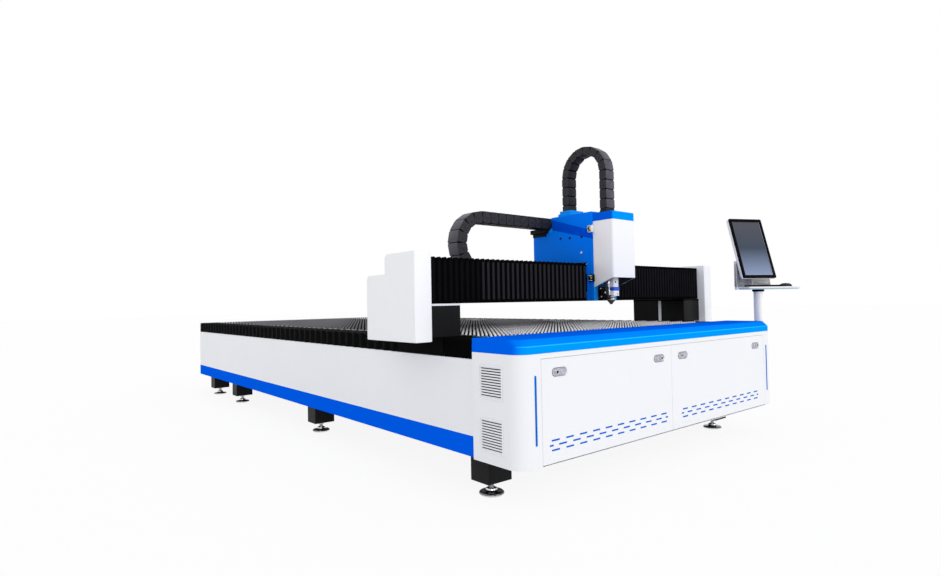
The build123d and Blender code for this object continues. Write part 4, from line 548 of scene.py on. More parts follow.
# A pale copy of the carriage blue for faces that catch the light: a painted highlight.
HIGHLIGHT_PALE_BLUE = FacingShadedPaint("blue_paint_pale_highlight", (0.005, 0.29, 0.90), (0.01, 0.38, 1.0), gloss=0.02)
BLACK = PowderCoat("black_paint_coat", (0.0045, 0.0045, 0.0055), 0.5, 0.12)
DULL_BLACK = PowderCoat("black_paint_dull", (0.0022, 0.0022, 0.0027), 0.6, 0.02)
TRAY_GREY = PowderCoat("tray_paint_satin", (0.28, 0.29, 0.31), 0.5, 0.3)
BELLOWS = CoatedFabric("bellows_black_cloth", (0.0021, 0.0020, 0.0025), (0.0010, 0.0010, 0.0013))
# Black for the bellows' margins, and also a painted shade in the valleys between the pleats.
BELLOWS_HEM_AND_VALLEY_SHADE = CoatedFabric("bellows_black_hem_and_valley_shade", (0.0022, 0.0022, 0.0026), (0.0012, 0.0012, 0.0016))
# The two pleat finishes are lighter greys of the black cloth, painted light on the side of each crest that
# faces the light; PLEATS_LEFT also fades to a painted shade at its left end.
PLEATS_LEFT = CoatedFabric("bellows_black_pleats", (0.024, 0.024, 0.029), (0.0045, 0.0045, 0.0055),
                           (0.165, 0.215))
PLEATS_RIGHT = CoatedFabric("bellows_black_tight", (0.014, 0.014, 0.017), (0.008, 0.008, 0.010))
CHAIN = MouldedPlastic("chain_plastic_grain", (0.025, 0.0245, 0.031), 0.45, 0.2, 0.0003, 0.8)
# The outer covers take a lighter purple-grey, a painted sheen; the inner covers a darker grey and the core
# near-black, painted shade.
CHAIN_COVER_SHEEN = MouldedPlastic("chain_plastic_cover_sheen", (0.066, 0.063, 0.081), 0.4, 0.25, 0.0002, 0.65)
CHAIN_UNDER_SHADE = MouldedPlastic("chain_plastic_under_shade", (0.020, 0.019, 0.025), 0.5, 0.1, 0.0002, 0.6)
CHAIN_CORE_SHADE = MouldedPlastic("chain_plastic_core_shade", (0.0022, 0.0022, 0.003), 0.6, 0.02)
BLACK_PLASTIC = MouldedPlastic("black_plastic_grain", (0.006, 0.006, 0.007), 0.4, 0.2)
BEZEL = MouldedPlastic("black_plastic_gloss", (0.0012, 0.0012, 0.0015), 0.3, 0.02, 0.00002)
# CONSOLE_WHITE is a lit copy of the white paint, brightened against the monitor's shadow; POLE_WHITE is
# warmed against the blue light reflected from the hood.
CONSOLE_WHITE = FacingShadedPaint("white_paint_console", (0.955, 0.957, 0.962), (0.972, 0.973, 0.975), 0.4, 0.2)
POLE_WHITE = FacingShadedPaint("white_paint_pole", (0.87, 0.86, 0.80), (0.97, 0.96, 0.93), 0.45, 0.1)
WHITE_PLASTIC = MouldedPlastic("white_plastic_grain", (0.95, 0.952, 0.955), 0.42, 0.3)
HEAD_BLUE = MouldedPlastic("blue_plastic_anodised", (0.01, 0.10, 0.62), 0.32, 0.3)
CREAM = MouldedPlastic("head_cream_enamel", (0.945, 0.93, 0.89), 0.35, 0.3)
BRIGHT = Metal("chrome_polished", (0.66, 0.66, 0.68), 0.14)
LOCK_CHROME = Metal("chrome_lock_plate", (0.50, 0.51, 0.57), 0.2, mottle=0.2)
# A darkened chrome for the feet: a painted dark reflection.
FOOT_CHROME = Metal("chrome_foot_dark", (0.17, 0.17, 0.18), 0.13, mottle=0.3)
SATIN = Metal("zinc_steel_satin", (0.52, 0.52, 0.54), 0.32)
GROUND = Metal("machined_steel_ground", (0.55, 0.55, 0.57), 0.25, (1.0, 30.0, 1.0))
NOZZLE = Metal("nozzle_metal_turned", (0.42, 0.40, 0.37), 0.2)
BRASS = Metal("plug_brass_turned", (0.60, 0.42, 0.20), 0.26)
COPPER = Metal("nozzle_metal_copper", (0.42, 0.27, 0.14), 0.25)
CAST = Metal("cast_aluminium_machined", (0.50, 0.50, 0.52), 0.4)
TRAY_STEEL = Metal("tray_steel_scaled", (0.22, 0.22, 0.23), 0.5)
SLAT = CutSteel()
SCREEN = ScreenPanel()
# A near-black mat set behind the vent slots: a painted shade inside the openings.
VENT_SLOT_SHADE = MouldedPlastic("vent_slot_shade_mat", (0.035, 0.035, 0.038), 0.8, 0.02, 0.0006, 0.3)
SCREEN_EDGE_HIGHLIGHT = PowderCoat("screen_edge_pale_highlight", (0.45, 0.50, 0.62), 0.3)
# A teal grey for the tray's undercut: a painted shade.
TRAY_UNDERCUT_SHADE = PowderCoat("console_edge_teal_shade", (0.42, 0.60, 0.64), 0.35)


class Mold:
    """Gathers closed shells, in millimetres, and casts them as one piece.

    The shells are given in the machine's frame, or in a frame that the mold's turn moves into it.
    """

    def __init__(self, turn: Optional[Matrix] = None) -> None:
        """Start empty, with a layer for how far each point is driven.

        Args:
            turn: The move of each new shell; it may be changed between two shells.
        """
        self.mesh = bmesh.new()
        self.drive = self.mesh.verts.layers.float.new("drive")
        self.turn = turn

    def loft(
        self,
        rings: Sequence[Sequence[Vector]],
        paint: Union[int, Sequence[int]] = 0,
        looped: bool = False,
        bands: Optional[Sequence[int]] = None,
    ) -> list[bmesh.types.BMVert]:
        """Join closed rings of equal length one after another, and close the first and the last.

        Args:
            rings: The rings' points.
            paint: The finish of all sides, or of each side round the ring.
            looped: Whether the last ring joins the first instead.
            bands: The finish of each step from ring to ring, where it takes the place of paint number 0.

        Returns:
            The new points, ring by ring.
        """
        rows = [[self.mesh.verts.new(point) for point in ring] for ring in rings]
        count = len(rows[0])
        paints = [paint] * count if isinstance(paint, int) else list(paint)
        pairs = list(zip(rows, rows[1:])) + ([(rows[-1], rows[0])] if looped else [])
        for number, (low, high) in enumerate(pairs):
            for index in range(count):
                after = (index + 1) % count
                face = self.mesh.faces.new((low[index], low[after], high[after], high[index]))
                face.material_index = bands[number] if bands and paints[index] == 0 else paints[index]
        if not looped:
            for row in (rows[0][::-1], rows[-1]):
                self.mesh.faces.new(row).material_index = paints[0]
        points = [point for row in rows for point in row]
        if self.turn:
            bmesh.ops.transform(self.mesh, matrix=self.turn, verts=points)
        return points

    def prism(self, outline: Sequence[Flat], axis: Axis, start: float, end: float,
              paint: int = 0) -> list[bmesh.types.BMVert]:
        """Push an outline along an axis from start to end."""
        return self.loft([[axis.at(a, b, along) for a, b in outline] for along in (start, end)], paint)

    def box(self, low: Corner, high: Corner, paint: int = 0) -> list[bmesh.types.BMVert]:
        """Add a block between two corners."""
        return self.prism(rectangle(low[0], low[1], high[0], high[1]), Axis.Z, low[2], high[2], paint)

    def tray(self, outer: Sequence[Flat], inner: Sequence[Flat], axis: Axis, start: float, end: float,
             paint: int = 0) -> None:
        """Add a frame between an outer and an inner outline with equally many points.

        Args:
            outer: The outer outline.
            inner: The inner outline.
            axis: The axis to push along.
            start: Where the frame starts.
            end: Where it ends.
            paint: The paint number.
        """
        rings = [[axis.at(a, b, along) for a, b in outline]
                 for outline, along in ((outer, start), (outer, end), (inner, end), (inner, start))]
        self.loft(rings, paint, looped=True)

    def lathe(self, profile: Sequence[Flat], centre: Corner, axis: Axis = Axis.Z, steps: int = 28,
              paint: int = 0, bands: Optional[Sequence[int]] = None) -> list[bmesh.types.BMVert]:
        """Turn a profile of radius and distance along the axis about a centre.

        Args:
            profile: Pairs of radius and distance along the axis.
            centre: A point that the axis passes through.
            axis: The axis to turn about.
            steps: The number of sides.
            paint: The paint number.
            bands: The finish of each step along the profile.

        Returns:
            The new points.
        """
        angles = [2 * math.pi * step / steps for step in range(steps)]
        rings = [[Vector(centre) + axis.at(radius * math.cos(angle), radius * math.sin(angle), along)
                  for angle in angles] for radius, along in profile]
        return self.loft(rings, paint, bands=bands)

    def cast(self, name: str, finishes: Sequence[Finish], bevel: float = 0.0, steps: int = 2,
             smooth: float = 38.0) -> bpy.types.Object:
        """Turn what is gathered into one object.

        Args:
            name: The piece's name.
            finishes: The finishes in the order of the paint numbers.
            bevel: The width of the edge rounding in millimetres.
            steps: The number of segments in the edge rounding.
            smooth: The angle in degrees below which two faces shade as one.

        Returns:
            The object, in metres.
        """
        bmesh.ops.recalc_face_normals(self.mesh, faces=self.mesh.faces[:])
        bmesh.ops.scale(self.mesh, vec=(MM, MM, MM), verts=self.mesh.verts[:])
        data = bpy.data.meshes.new(name)
        self.mesh.to_mesh(data)
        self.mesh.free()
        for finish in finishes:
            data.materials.append(finish.material())
        piece = bpy.data.objects.new(name, data)
        bpy.context.scene.collection.objects.link(piece)
        if bevel:
            edges = piece.modifiers.new("edges", "BEVEL")
            edges.width = bevel * MM
            edges.segments = steps
            edges.limit_method = "ANGLE"
            edges.angle_limit = math.radians(32)
            settle(piece)
        piece.data.polygons.foreach_set("use_smooth", [True] * len(piece.data.polygons))
        piece.data.set_sharp_from_angle(angle=math.radians(smooth))
        return piece


def settle(piece: bpy.types.Object) -> None:
    """Write a piece's modifiers into its mesh.

    Args:
        piece: The object to change.
    """
    graph = bpy.context.evaluated_depsgraph_get()
    made = bpy.data.meshes.new_from_object(piece.evaluated_get(graph))
    piece.modifiers.clear()
    old, piece.data = piece.data, made
    bpy.data.meshes.remove(old)
    made.name = piece.name


def mount(piece: bpy.types.Object, body: str, slot: str, *nodes: str) -> bpy.types.Object:
    """Let a piece ride on a body and stand for the nodes that it replaces."""
    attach(piece, body)
    return _told(piece, slot, *nodes)


def _told(piece: bpy.types.Object, slot: str, *nodes: str) -> bpy.types.Object:
    """Hide the nodes that a piece replaces, and report it.

    Args:
        piece: The finished piece.
        slot: The slot of its finish; unused.
        nodes: The nodes that it replaces.

    Returns:
        The piece.
    """
    if nodes:
        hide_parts(*nodes)
    LOG.info("%s: %d faces, for %s", piece.name, len(piece.data.polygons), ", ".join(nodes) or "detail")
    return piece


def drive(piece: bpy.types.Object, first: str, second: str, weight: Weight, slot: str,
          *nodes: str) -> bpy.types.Object:
    """Let a piece stretch between two bodies, with its own weight at each point.

    Args:
        piece: The finished piece.
        first: The body that weight 0 stands for; unused.
        second: The body that weight 1 stands for; unused.
        weight: Gives the weight from the point, in metres, and from its drive value.
        slot: The slot of its finish; unused.
        nodes: The nodes that it replaces.

    Returns:
        The piece.
    """
    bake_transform(piece)
    driven = piece.data.attributes["drive"].data
    weights = [weight(point.co, driven[index].value) for index, point in enumerate(piece.data.vertices)]
    [max(0.0, min(1.0, w)) for w in weights]
    return _told(piece, slot, *nodes)


def dress(nodes: Nodes, finish: Finish, *names: str) -> None:
    """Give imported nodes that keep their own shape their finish.

    Args:
        nodes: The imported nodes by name.
        finish: The finish to give.
        names: The nodes to dress.
    """
    for name in names:
        for place in nodes[name].material_slots:
            place.material = finish.material()
        LOG.info("%s keeps its packed shape in %s", name, finish.name)


@dataclass
class FrontCabinet:
    """The white front cabinet with its blue hood, accent strips, side vents and door locks."""

    corner: float = 70.0
    band_bottom: float = 654.0
    band_top: float = 687.0
    hood_top: float = 717.0
    slope_inset: float = 31.0
    vent_heights: Flat = (296.0, 528.0)
    vent_middle: float = -110.0
    vent_half: float = 65.0
    vent_rim: float = 5.0
    slot_pitch: float = 11.8
    slots: int = 11
    lock_height: float = 568.0
    lock_places: tuple[float, ...] = (153.5, 925.25, 1154.75, 2016.5)
    lock_offset: float = 18.0
    lock_plate: Flat = (93.0, 35.0)
    tongue_half: float = 7.0
    tongue_reach: float = 88.0
    tongue_span: Flat = (-248.5, -245.5)
    strip_span: Flat = (267.0, 564.0)
    strip_inset: float = 92.0
    strip_width: float = 11.0
    strip_rise: float = 1.5

    def build(self, nodes: Nodes) -> None:
        """Build and dress every piece of the cabinet.

        Args:
            nodes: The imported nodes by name.
        """
        dress(nodes, WHITE, "cabinet", "left_door", "right_door")
        dress(nodes, STRIP_BLUE, "left_door_backing", "right_door_backing")
        dress(nodes, SATIN, "door_hinge_pins", "control_plate")
        dress(nodes, TRAY_GREY, "laser_source")
        dress(nodes, BLACK_PLASTIC, "power_gland")
        self.hood()
        self.strips()
        self.vents()
        self.lock_plates()
        self.locks()

    def hood(self) -> None:
        """Loft the hood: an upright band, a softly broken edge and a slope along the front."""
        edge, top, slope = self.band_top, self.hood_top, self.slope_inset
        levels = [(self.band_bottom + 0.2, 0.6), (self.band_bottom + 1.0, 0.0), (edge - 2.5, 0.0),
                  (edge - 1.0, 0.4), (edge + 0.6, 1.3), (edge + 2.2, 2.9), (top - 1.5, slope - 1.6),
                  (top - 0.4, slope), (top, slope + 2.0)]
        rings = []
        for height, inset in levels:
            side = min(inset, 1.5) if height < top - 1 else 3.0
            plan = rounded([(LEFT + side, BACK, 0.0), (LEFT + side, FRONT + inset, self.corner),
                            (RIGHT - side, FRONT + inset, self.corner), (RIGHT - side, BACK, 0.0)], 14)
            rings.append(level(plan, height))
        mold = Mold()
        paints = [2] * 6 + [0] * (len(rings[0]) - 14) + [2] * 8
        # The steps over the broken edge take the lighter blue, a painted highlight along the fold.
        mold.loft(rings, paints, bands=[0, 0, 1, 1, 1, 0, 0, 0])
        piece = mold.cast("hood_cover", [BLUE, FOLD_HIGHLIGHT_BLUE, BLUE], smooth=24.0)
        mount(piece, "machine", "blue_paint", "hood")

    def strips(self) -> None:
        """Cast the two accent strips with round ends."""
        mold = Mold()
        low, high = self.strip_span
        for x in (LEFT + self.strip_inset, RIGHT - self.strip_inset):
            outline = slot_outline((x, (low + high) / 2), self.strip_width, high - low)
            mold.prism(outline, Axis.Y, FRONT - self.strip_rise, FRONT)
        mount(mold.cast("accent_strip_pair", [STRIP_BLUE], 0.5), "machine", "blue_paint", "accent_strips")

    def vents(self) -> None:
        """Add a rim and drip lips round each side vent's slots, and near-black mats behind them as a
        painted shade.
        """
        mold, slot_shades = Mold(), Mold()
        y0, y1 = self.vent_middle - self.vent_half, self.vent_middle + self.vent_half
        rise = self.slot_pitch * self.slots / 2
        lip = ((-0.5, 5.4), (1.3, 4.0), (1.3, 3.2), (-0.5, 3.6))
        for face, out in ((LEFT, -1.0), (RIGHT, 1.0)):
            for height in self.vent_heights:
                z0, z1 = height - rise, height + rise
                mold.tray(rectangle(y0 - 11, z0 - 9, y1 + 11, z1 + 9, 5),
                          rectangle(y0 - 5, z0 - 3, y1 + 5, z1 + 3, 3), Axis.X, face - out * 0.5,
                          face + out * self.vent_rim)
                for number in range(self.slots):
                    z = height + (number - (self.slots - 1) / 2) * self.slot_pitch
                    mold.prism([(face + out * a, z + b) for a, b in lip], Axis.Y, y0 - 1, y1 + 1)
                # Near-black mats behind the slots stand for the shade inside the openings.
                x0, x1 = sorted((face - out * 6, face - out * 8))
                slot_shades.box((x0, y0 - 4, z0 - 2), (x1, y1 + 4, z1 + 2))
        mount(mold.cast("side_vent_louvres", [WHITE], 0.5), "machine", "white_paint")
        mount(slot_shades.cast("side_vent_slot_shades", [VENT_SLOT_SHADE]), "machine", "tray_paint")

    def lock_plates(self) -> None:
        """Cast the chrome oblong plates, each with a raised rim, a dished floor and a push button."""
        length, height = self.lock_plate
        rim = ((0.0, 0.0), (0.2, 2.2), (1.2, 3.0), (3.6, 3.0), (4.6, 2.2), (5.4, 1.2))
        button = ((11.5, 1.0), (11.5, 2.4), (10.6, 3.0), (8.5, 3.0), (7.8, 2.6), (2.0, 2.5))
        for side, first in (("left", 0), ("right", 2)):
            mold = Mold()
            for x, offset in zip(self.lock_places[first:first + 2], (self.lock_offset, -self.lock_offset)):
                middle = (x, self.lock_height)
                rings = []
                for inset, rise in rim:
                    outline = slot_outline(middle, length - 2 * inset, height - 2 * inset)
                    rings.append([Axis.Y.at(a, b, FRONT - rise) for a, b in outline])
                mold.loft(rings)
                mold.lathe([(radius, FRONT - rise) for radius, rise in button],
                           (x + offset, 0, self.lock_height), Axis.Y)
                # A black oblong just larger than the plate, flush with the door: a painted shadow in the
                # gap round it.
                mold.prism(slot_outline(middle, length + 3.5, height + 3.5), Axis.Y, FRONT - 0.6, FRONT, 1)
            piece = mold.cast(f"{side}_lock_dishes", [LOCK_CHROME, BEZEL], smooth=50.0)
            mount(piece, f"{side}_door", "chrome", f"{side}_door_lock_plates")

    def locks(self) -> None:
        """Cast each lock: a chrome barrel with a black centre, its shaft and its hanging tongue."""
        z, half, reach = self.lock_height, self.tongue_half, self.tongue_reach
        shaft, back = self.tongue_span
        barrel = [(9.9, -284.0), (9.9, -295.8), (9.2, -296.8), (7.6, -297.0), (6.8, -296.4), (0.8, -296.4)]
        names = ("left_lock_1", "left_lock_2", "right_lock_1", "right_lock_2")
        for number, (body, middle) in enumerate(zip(names, self.lock_places)):
            x = middle + (self.lock_offset if number % 2 else -self.lock_offset)
            mold = Mold()
            mold.lathe(barrel, (x, 0, z), Axis.Y, 32)
            mold.lathe([(6.3, -296.0), (6.3, -297.0), (0.6, -297.0)], (x, 0, z), Axis.Y, 20, 1)
            mold.lathe([(5.0, -284.0), (5.0, shaft)], (x, 0, z), Axis.Y, 20, 2)
            tongue = rounded([(x - half, z + half, 6), (x - half, z - reach, 3), (x + half, z - reach, 3),
                              (x + half, z + half, 6)])
            mold.prism(tongue, Axis.Y, shaft, back, 2)
            node = f"{body.split('_')[0]}_door_lock_{body[-1]}"
            mount(mold.cast(f"{body}_barrel", [BRIGHT, BEZEL, SATIN]), body, "chrome", node)


@dataclass
class Bed:
    """The long bed: frame, panels, skirts, pedestals and levelling feet."""

    foot_columns: Flat = (0.0, 1990.0)
    foot_rows: tuple[float, ...] = (0.0, 1793.0, 3456.0, 4138.0)
    seam: float = 269.0
    panel_top: float = 618.0

    def build(self, nodes: Nodes) -> None:
        """Build and dress every piece of the bed.

        Args:
            nodes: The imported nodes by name.
        """
        dress(nodes, BLACK, "bed_frame")
        dress(nodes, WHITE, "side_panels", "rear_panel")
        dress(nodes, SKIRT_BLUE, "skirts")
        dress(nodes, GROUND, "guide_rails")
        self.hems()
        self.feet()
        self.nuts()

    def hems(self) -> None:
        """Add the folded hems that show as thin bright lines along the panels' edges."""
        mold = Mold()
        for x, out in zip(BED_SIDES, (-1.0, 1.0)):
            for low, high in ((self.seam - 2.0, self.seam + 3.5), (self.panel_top - 4.5, self.panel_top)):
                fold = ((-0.5, low), (2.0, low + 1.0), (2.0, high - 2.2), (0.4, high), (-0.5, high))
                mold.prism([(x + out * a, z) for a, z in fold], Axis.Y, BACK + 1.0, BED_REAR - 1.0)
        mount(mold.cast("panel_hems", [WHITE], 0.4), "machine", "white_paint")

    def feet(self) -> None:
        """Turn the eight levelling feet: a soft-edged disc, a dome, a waist and a threaded stem."""
        profile = [(48.0, 0.0), (53.0, 1.2), (57.0, 4.5), (58.5, 9.0), (57.0, 13.5), (53.0, 16.8),
                   (47.0, 18.0), (38.0, 19.0), (30.0, 20.6), (26.5, 22.0), (25.5, 24.0), (25.5, 30.0),
                   (24.0, 32.0), (17.0, 34.0), (14.0, 37.0)]
        thread = [(11.0 if step % 2 else 9.9, 38.0 + step * 1.5) for step in range(20)]
        mold = Mold()
        for x in self.foot_columns:
            for y in self.foot_rows:
                # Painted reflections: the rim's lower half, the waist and the stem take bright chrome, the
                # rim's upper half and the dome the darkened chrome.
                mold.lathe(profile + thread, (x, y, 0), steps=36, bands=[1] * 3 + [0] * 7 + [1] * 40)
        mount(mold.cast("foot_discs", [FOOT_CHROME, BRIGHT], smooth=50.0), "machine", "chrome",
              "levelling_feet")

    def nuts(self) -> None:
        """Cast the hexagon lock nuts with chamfered ends."""
        mold = Mold()
        for x in self.foot_columns:
            for y in self.foot_rows:
                mold.lathe([(20.5, 52.0), (22.0, 53.5), (22.0, 65.5), (20.5, 67.0)], (x, y, 0), steps=6)
        mount(mold.cast("foot_lock_nuts", [SATIN], 0.5), "machine", "zinc_steel", "foot_nuts")


@dataclass
class SlatTable:
    """The cutting table: upright toothed slats in a frame over the slag trays."""

    left: float = 121.0
    right: float = 2049.0
    foot: float = 632.0
    root: float = 692.0
    tip: float = 717.0
    thickness: float = 5.0
    count: int = 44
    first: float = 134.4
    last: float = 4408.6
    teeth: int = 70
    blunt: float = 4.0
    gap: float = 4.5

    def build(self, nodes: Nodes) -> None:
        """Build and dress the table.

        Args:
            nodes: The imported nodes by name.
        """
        dress(nodes, WHITE, "table_frame")
        dress(nodes, TRAY_STEEL, "slag_trays")
        self.slats()

    def slats(self) -> None:
        """Cut every slat with its full row of blunt teeth."""
        pitch = (self.right - self.left) / self.teeth
        outline: list[Flat] = [(self.left, self.foot), (self.left, self.root)]
        for tooth in range(self.teeth):
            x = self.left + tooth * pitch
            middle = x + pitch / 2
            outline += [(x + self.gap, self.root), (middle - self.blunt, self.tip),
                        (middle + self.blunt, self.tip), (x + pitch - self.gap, self.root)]
        outline += [(self.right, self.root), (self.right, self.foot)]
        mold = Mold()
        for number in range(self.count):
            y = self.first + (self.last - self.first) * number / (self.count - 1)
            mold.prism(outline, Axis.Y, y - self.thickness / 2, y + self.thickness / 2)
        mount(mold.cast("toothed_slats", [SLAT], smooth=20.0), "machine", "slat_steel", "slats")


@dataclass
class Pleats:
    """A pleated sleeve between two ends, folded to an even pitch."""

    start: float
    end: float
    folds: int
    depth: float

    def stations(self) -> list[Flat]:
        """Return the rings' places and how far each lies below the peaks.

        Returns:
            Pairs of place and depth below the peaks.
        """
        pitch = (self.end - self.start) / self.folds
        wave = ((0.07, 1.0), (0.24, 0.5), (0.42, 0.1), (0.52, 0.0), (0.62, 0.12), (0.93, 1.0))
        places: list[Flat] = [(self.start, self.depth)]
        for fold in range(self.folds):
            x = self.start + fold * pitch
            places += [(x + pitch * part, self.depth * sunk) for part, sunk in wave]
        return places + [(self.end, self.depth)]

    def weight(self, axis: int, falling: bool) -> Weight:
        """Return the rule for how far a point moves with the second body.

        Args:
            axis: The axis that the sleeve runs along, 0 for X and 1 for Y.
            falling: Whether the weight falls from the sleeve's start to its end.

        Returns:
            The rule, for a place in metres and a drive value that it leaves aside.
        """
        def share(place: Vector, _: float) -> float:
            """Return a place's share of the run."""
            along = place[axis] / MM
            return (self.end - along if falling else along - self.start) / (self.end - self.start)

        return share

    def bands(self) -> list[int]:
        """Return a paint for each step between rings: 0 on the crests and 2 in the valleys, a painted
        shade.
        """
        return [2] + [2, 0, 0, 2, 2, 2] * self.folds


@dataclass
class RailCovers:
    """The black bellows that close the two rails before and behind the gantry."""

    low: float = 618.3
    top: float = 710.0
    half: float = 90.0
    deep: float = 13.0
    centres: Flat = (16.0, 2154.0)
    front: Pleats = field(default_factory=lambda: Pleats(15.3, 254.7, 9, 9.0))
    rear: Pleats = field(default_factory=lambda: Pleats(668.3, 4593.7, 44, 9.0))

    def build(self) -> None:
        """Build both pairs of bellows."""
        self.pair("front_rail_covers", self.front, self.front.weight(1, False), "front_rail_bellows")
        self.pair("rear_rail_covers", self.rear, self.rear.weight(1, True), "rear_rail_bellows")

    def pair(self, name: str, pleats: Pleats, weight: Weight, node: str) -> None:
        """Cast one pair of sleeves, left and right.

        Args:
            name: The piece's name.
            pleats: The folds along Y.
            weight: Gives the weight from a point, in metres, and its drive value.
            node: The node that it replaces.
        """
        mold = Mold()
        inside, roof = self.half - self.deep, self.top - self.deep
        for x in self.centres:
            rings = []
            for y, sunk in pleats.stations():
                a, top = self.half - sunk, self.top - sunk
                section = [(-a, self.low), (-a, top - 7), (-a + 2, top - 2), (-a + 7, top), (a - 7, top),
                           (a - 2, top - 2), (a, top - 7), (a, self.low), (inside, self.low),
                           (inside, roof), (-inside, roof), (-inside, self.low)]
                rings.append([Vector((x + p, y, z)) for p, z in section])
            mold.loft(rings)
        drive(mold.cast(name, [BELLOWS], smooth=30.0), "machine", "gantry", weight, "bellows_black", node)


class Run(Enum):
    """The three runs of a cable chain."""

    FIXED = 0
    BEND = 1
    MOVING = 2


@dataclass
class CableChain:
    """A cable chain of closed links that rolls round one half-circle bend.

    The chain is set out in its own frame: the fixed run lies below the bend's centre, the moving run above
    it, and both run towards plus. The place matrix moves that frame into the machine.
    """

    name: str
    radius: float
    thickness: float
    width: float
    links: tuple[int, int, int]
    place: Matrix
    wall: float = 6.0

    def frames(self) -> list[tuple[Run, Vector, Vector, Vector]]:
        """Set out the links from the fixed end to the moving end.

        Returns:
            Each link's run, centre, direction and outward normal.
        """
        pitch = math.pi * self.radius / self.links[1]
        step = math.pi / self.links[1]
        left, right, up, down = Vector((-1, 0, 0)), Vector((1, 0, 0)), Vector((0, 0, 1)), Vector((0, 0, -1))
        made = []
        for number in range(self.links[0]):
            centre = Vector(((self.links[0] - number - 0.5) * pitch, 0, -self.radius))
            made.append((Run.FIXED, centre, left, down))
        for number in range(self.links[1]):
            angle = -math.pi / 2 - (number + 0.5) * step
            outward = Vector((math.cos(angle), 0, math.sin(angle)))
            made.append((Run.BEND, outward * self.radius * math.cos(step / 2),
                         Vector((outward.z, 0, -outward.x)), outward))
        for number in range(self.links[2]):
            made.append((Run.MOVING, Vector(((number + 0.5) * pitch, 0, self.radius)), right, up))
        return made

    def link(self, mold: Mold, run: Run, odd: bool, centre: Vector, along: Vector,
             outward: Vector) -> list[bmesh.types.BMVert]:
        """Add one link: six-sided side plates with bosses, two covers and the body under them.

        Args:
            mold: The mold to add to.
            run: The run that the link is in.
            odd: Whether its plates stand a little further out.
            centre: Its centre in the chain's frame.
            along: Its direction.
            outward: The normal away from the bend's centre.

        Returns:
            The new points.
        """
        mold.turn = self.place @ Matrix(((along.x, 0, outward.x, centre.x), (0, 1, 0, 0),
                                         (along.z, 0, outward.z, centre.z), (0, 0, 0, 1)))
        pitch = math.pi * self.radius / self.links[1] * (0.9936 if run is Run.BEND else 1.0)
        h, half, t = self.thickness / 2, self.width / 2, self.wall
        step = math.tan(math.pi / self.links[1] / 2) if run is Run.BEND else 0.0
        out_half, in_half = pitch / 2 + h * step, pitch / 2 - h * step
        tip, lift = pitch / 2 - 1.4, 0.0 if odd else 0.8
        plate = [(-tip, -h * 0.35), (-in_half + 4.0, -h * 0.97), (in_half - 4.0, -h * 0.97),
                 (tip, -h * 0.35), (tip, h * 0.35), (out_half - 5.0, h * 0.97), (-out_half + 5.0, h * 0.97),
                 (-tip, h * 0.35)]
        core = [(-in_half - 0.5, -h * 0.93), (in_half + 0.5, -h * 0.93), (out_half + 0.5, h * 0.90),
                (-out_half - 0.5, h * 0.90)]
        boss = ((0.34, half - 3.0), (0.34, half - lift + 0.7), (0.28, half - lift + 1.2),
                (0.04, half - lift + 1.2))
        points: list[bmesh.types.BMVert] = []
        for side in (-1.0, 1.0):
            points += mold.prism(plate, Axis.Y, side * (half - lift), side * (half - t))
            # The core and the spine take the near-black, a painted shade between the plates and under the
            # covers.
            points += mold.prism(core, Axis.Y, side * (half - t + 0.6), side * (half - 2 * t), 2)
            points += mold.lathe([(h * part, side * y) for part, y in boss], (0, 0, 0), Axis.Y, 14)
        # The outer cover takes the painted sheen and the inner cover the painted shade.
        for reach, sign, deep, paint in ((out_half - 2.4, 1.0, 6.0, 1), (in_half - 2.2, -1.0, 6.0, 3)):
            edge = rectangle(-reach, -half + 3.0, reach, half - 3.0, 6, 3)
            soft = rectangle(-reach + 2.5, -half + 5.5, reach - 2.5, half - 5.5, 5, 3)
            rings = [level(edge, sign * (h - deep)), level(edge, sign * (h - 1.4)), level(soft, sign * h)]
            points += mold.loft(rings, paint)
        spine = rectangle(-out_half - 0.5, -half + 3.5, out_half + 0.5, half - 3.5)
        points += mold.prism(spine, Axis.Z, h - 9.0, h - 4.5, 2)
        return points

    def build(self, first: str, second: str, node: str) -> bpy.types.Object:
        """Cast the whole chain and work out each point's share between two bodies.

        Args:
            first: The body at the fixed end.
            second: The body at the moving end.
            node: The node that it replaces.

        Returns:
            The chain.
        """
        mold = Mold()
        frames = self.frames()
        pitch = math.pi * self.radius / self.links[1]
        fixed, moving = self.links[0] * pitch, self.links[2] * pitch
        back = self.place.inverted()
        for number, (run, centre, along, outward) in enumerate(frames):
            for point in self.link(mold, run, number % 2 == 1, centre, along, outward):
                u = (back @ point.co).x
                if run is Run.FIXED:
                    point[mold.drive] = 0.5 * (1 - min(1.0, max(0.0, u / fixed)))
                elif run is Run.MOVING:
                    point[mold.drive] = 0.5 + 0.5 * min(1.0, max(0.0, u / moving))
                else:
                    point[mold.drive] = 0.5
        piece = mold.cast(self.name, [CHAIN, CHAIN_COVER_SHEEN, CHAIN_CORE_SHADE, CHAIN_UNDER_SHADE], 0.8, 1)
        return drive(piece, first, second, lambda _, value: value, "chain_plastic", node)


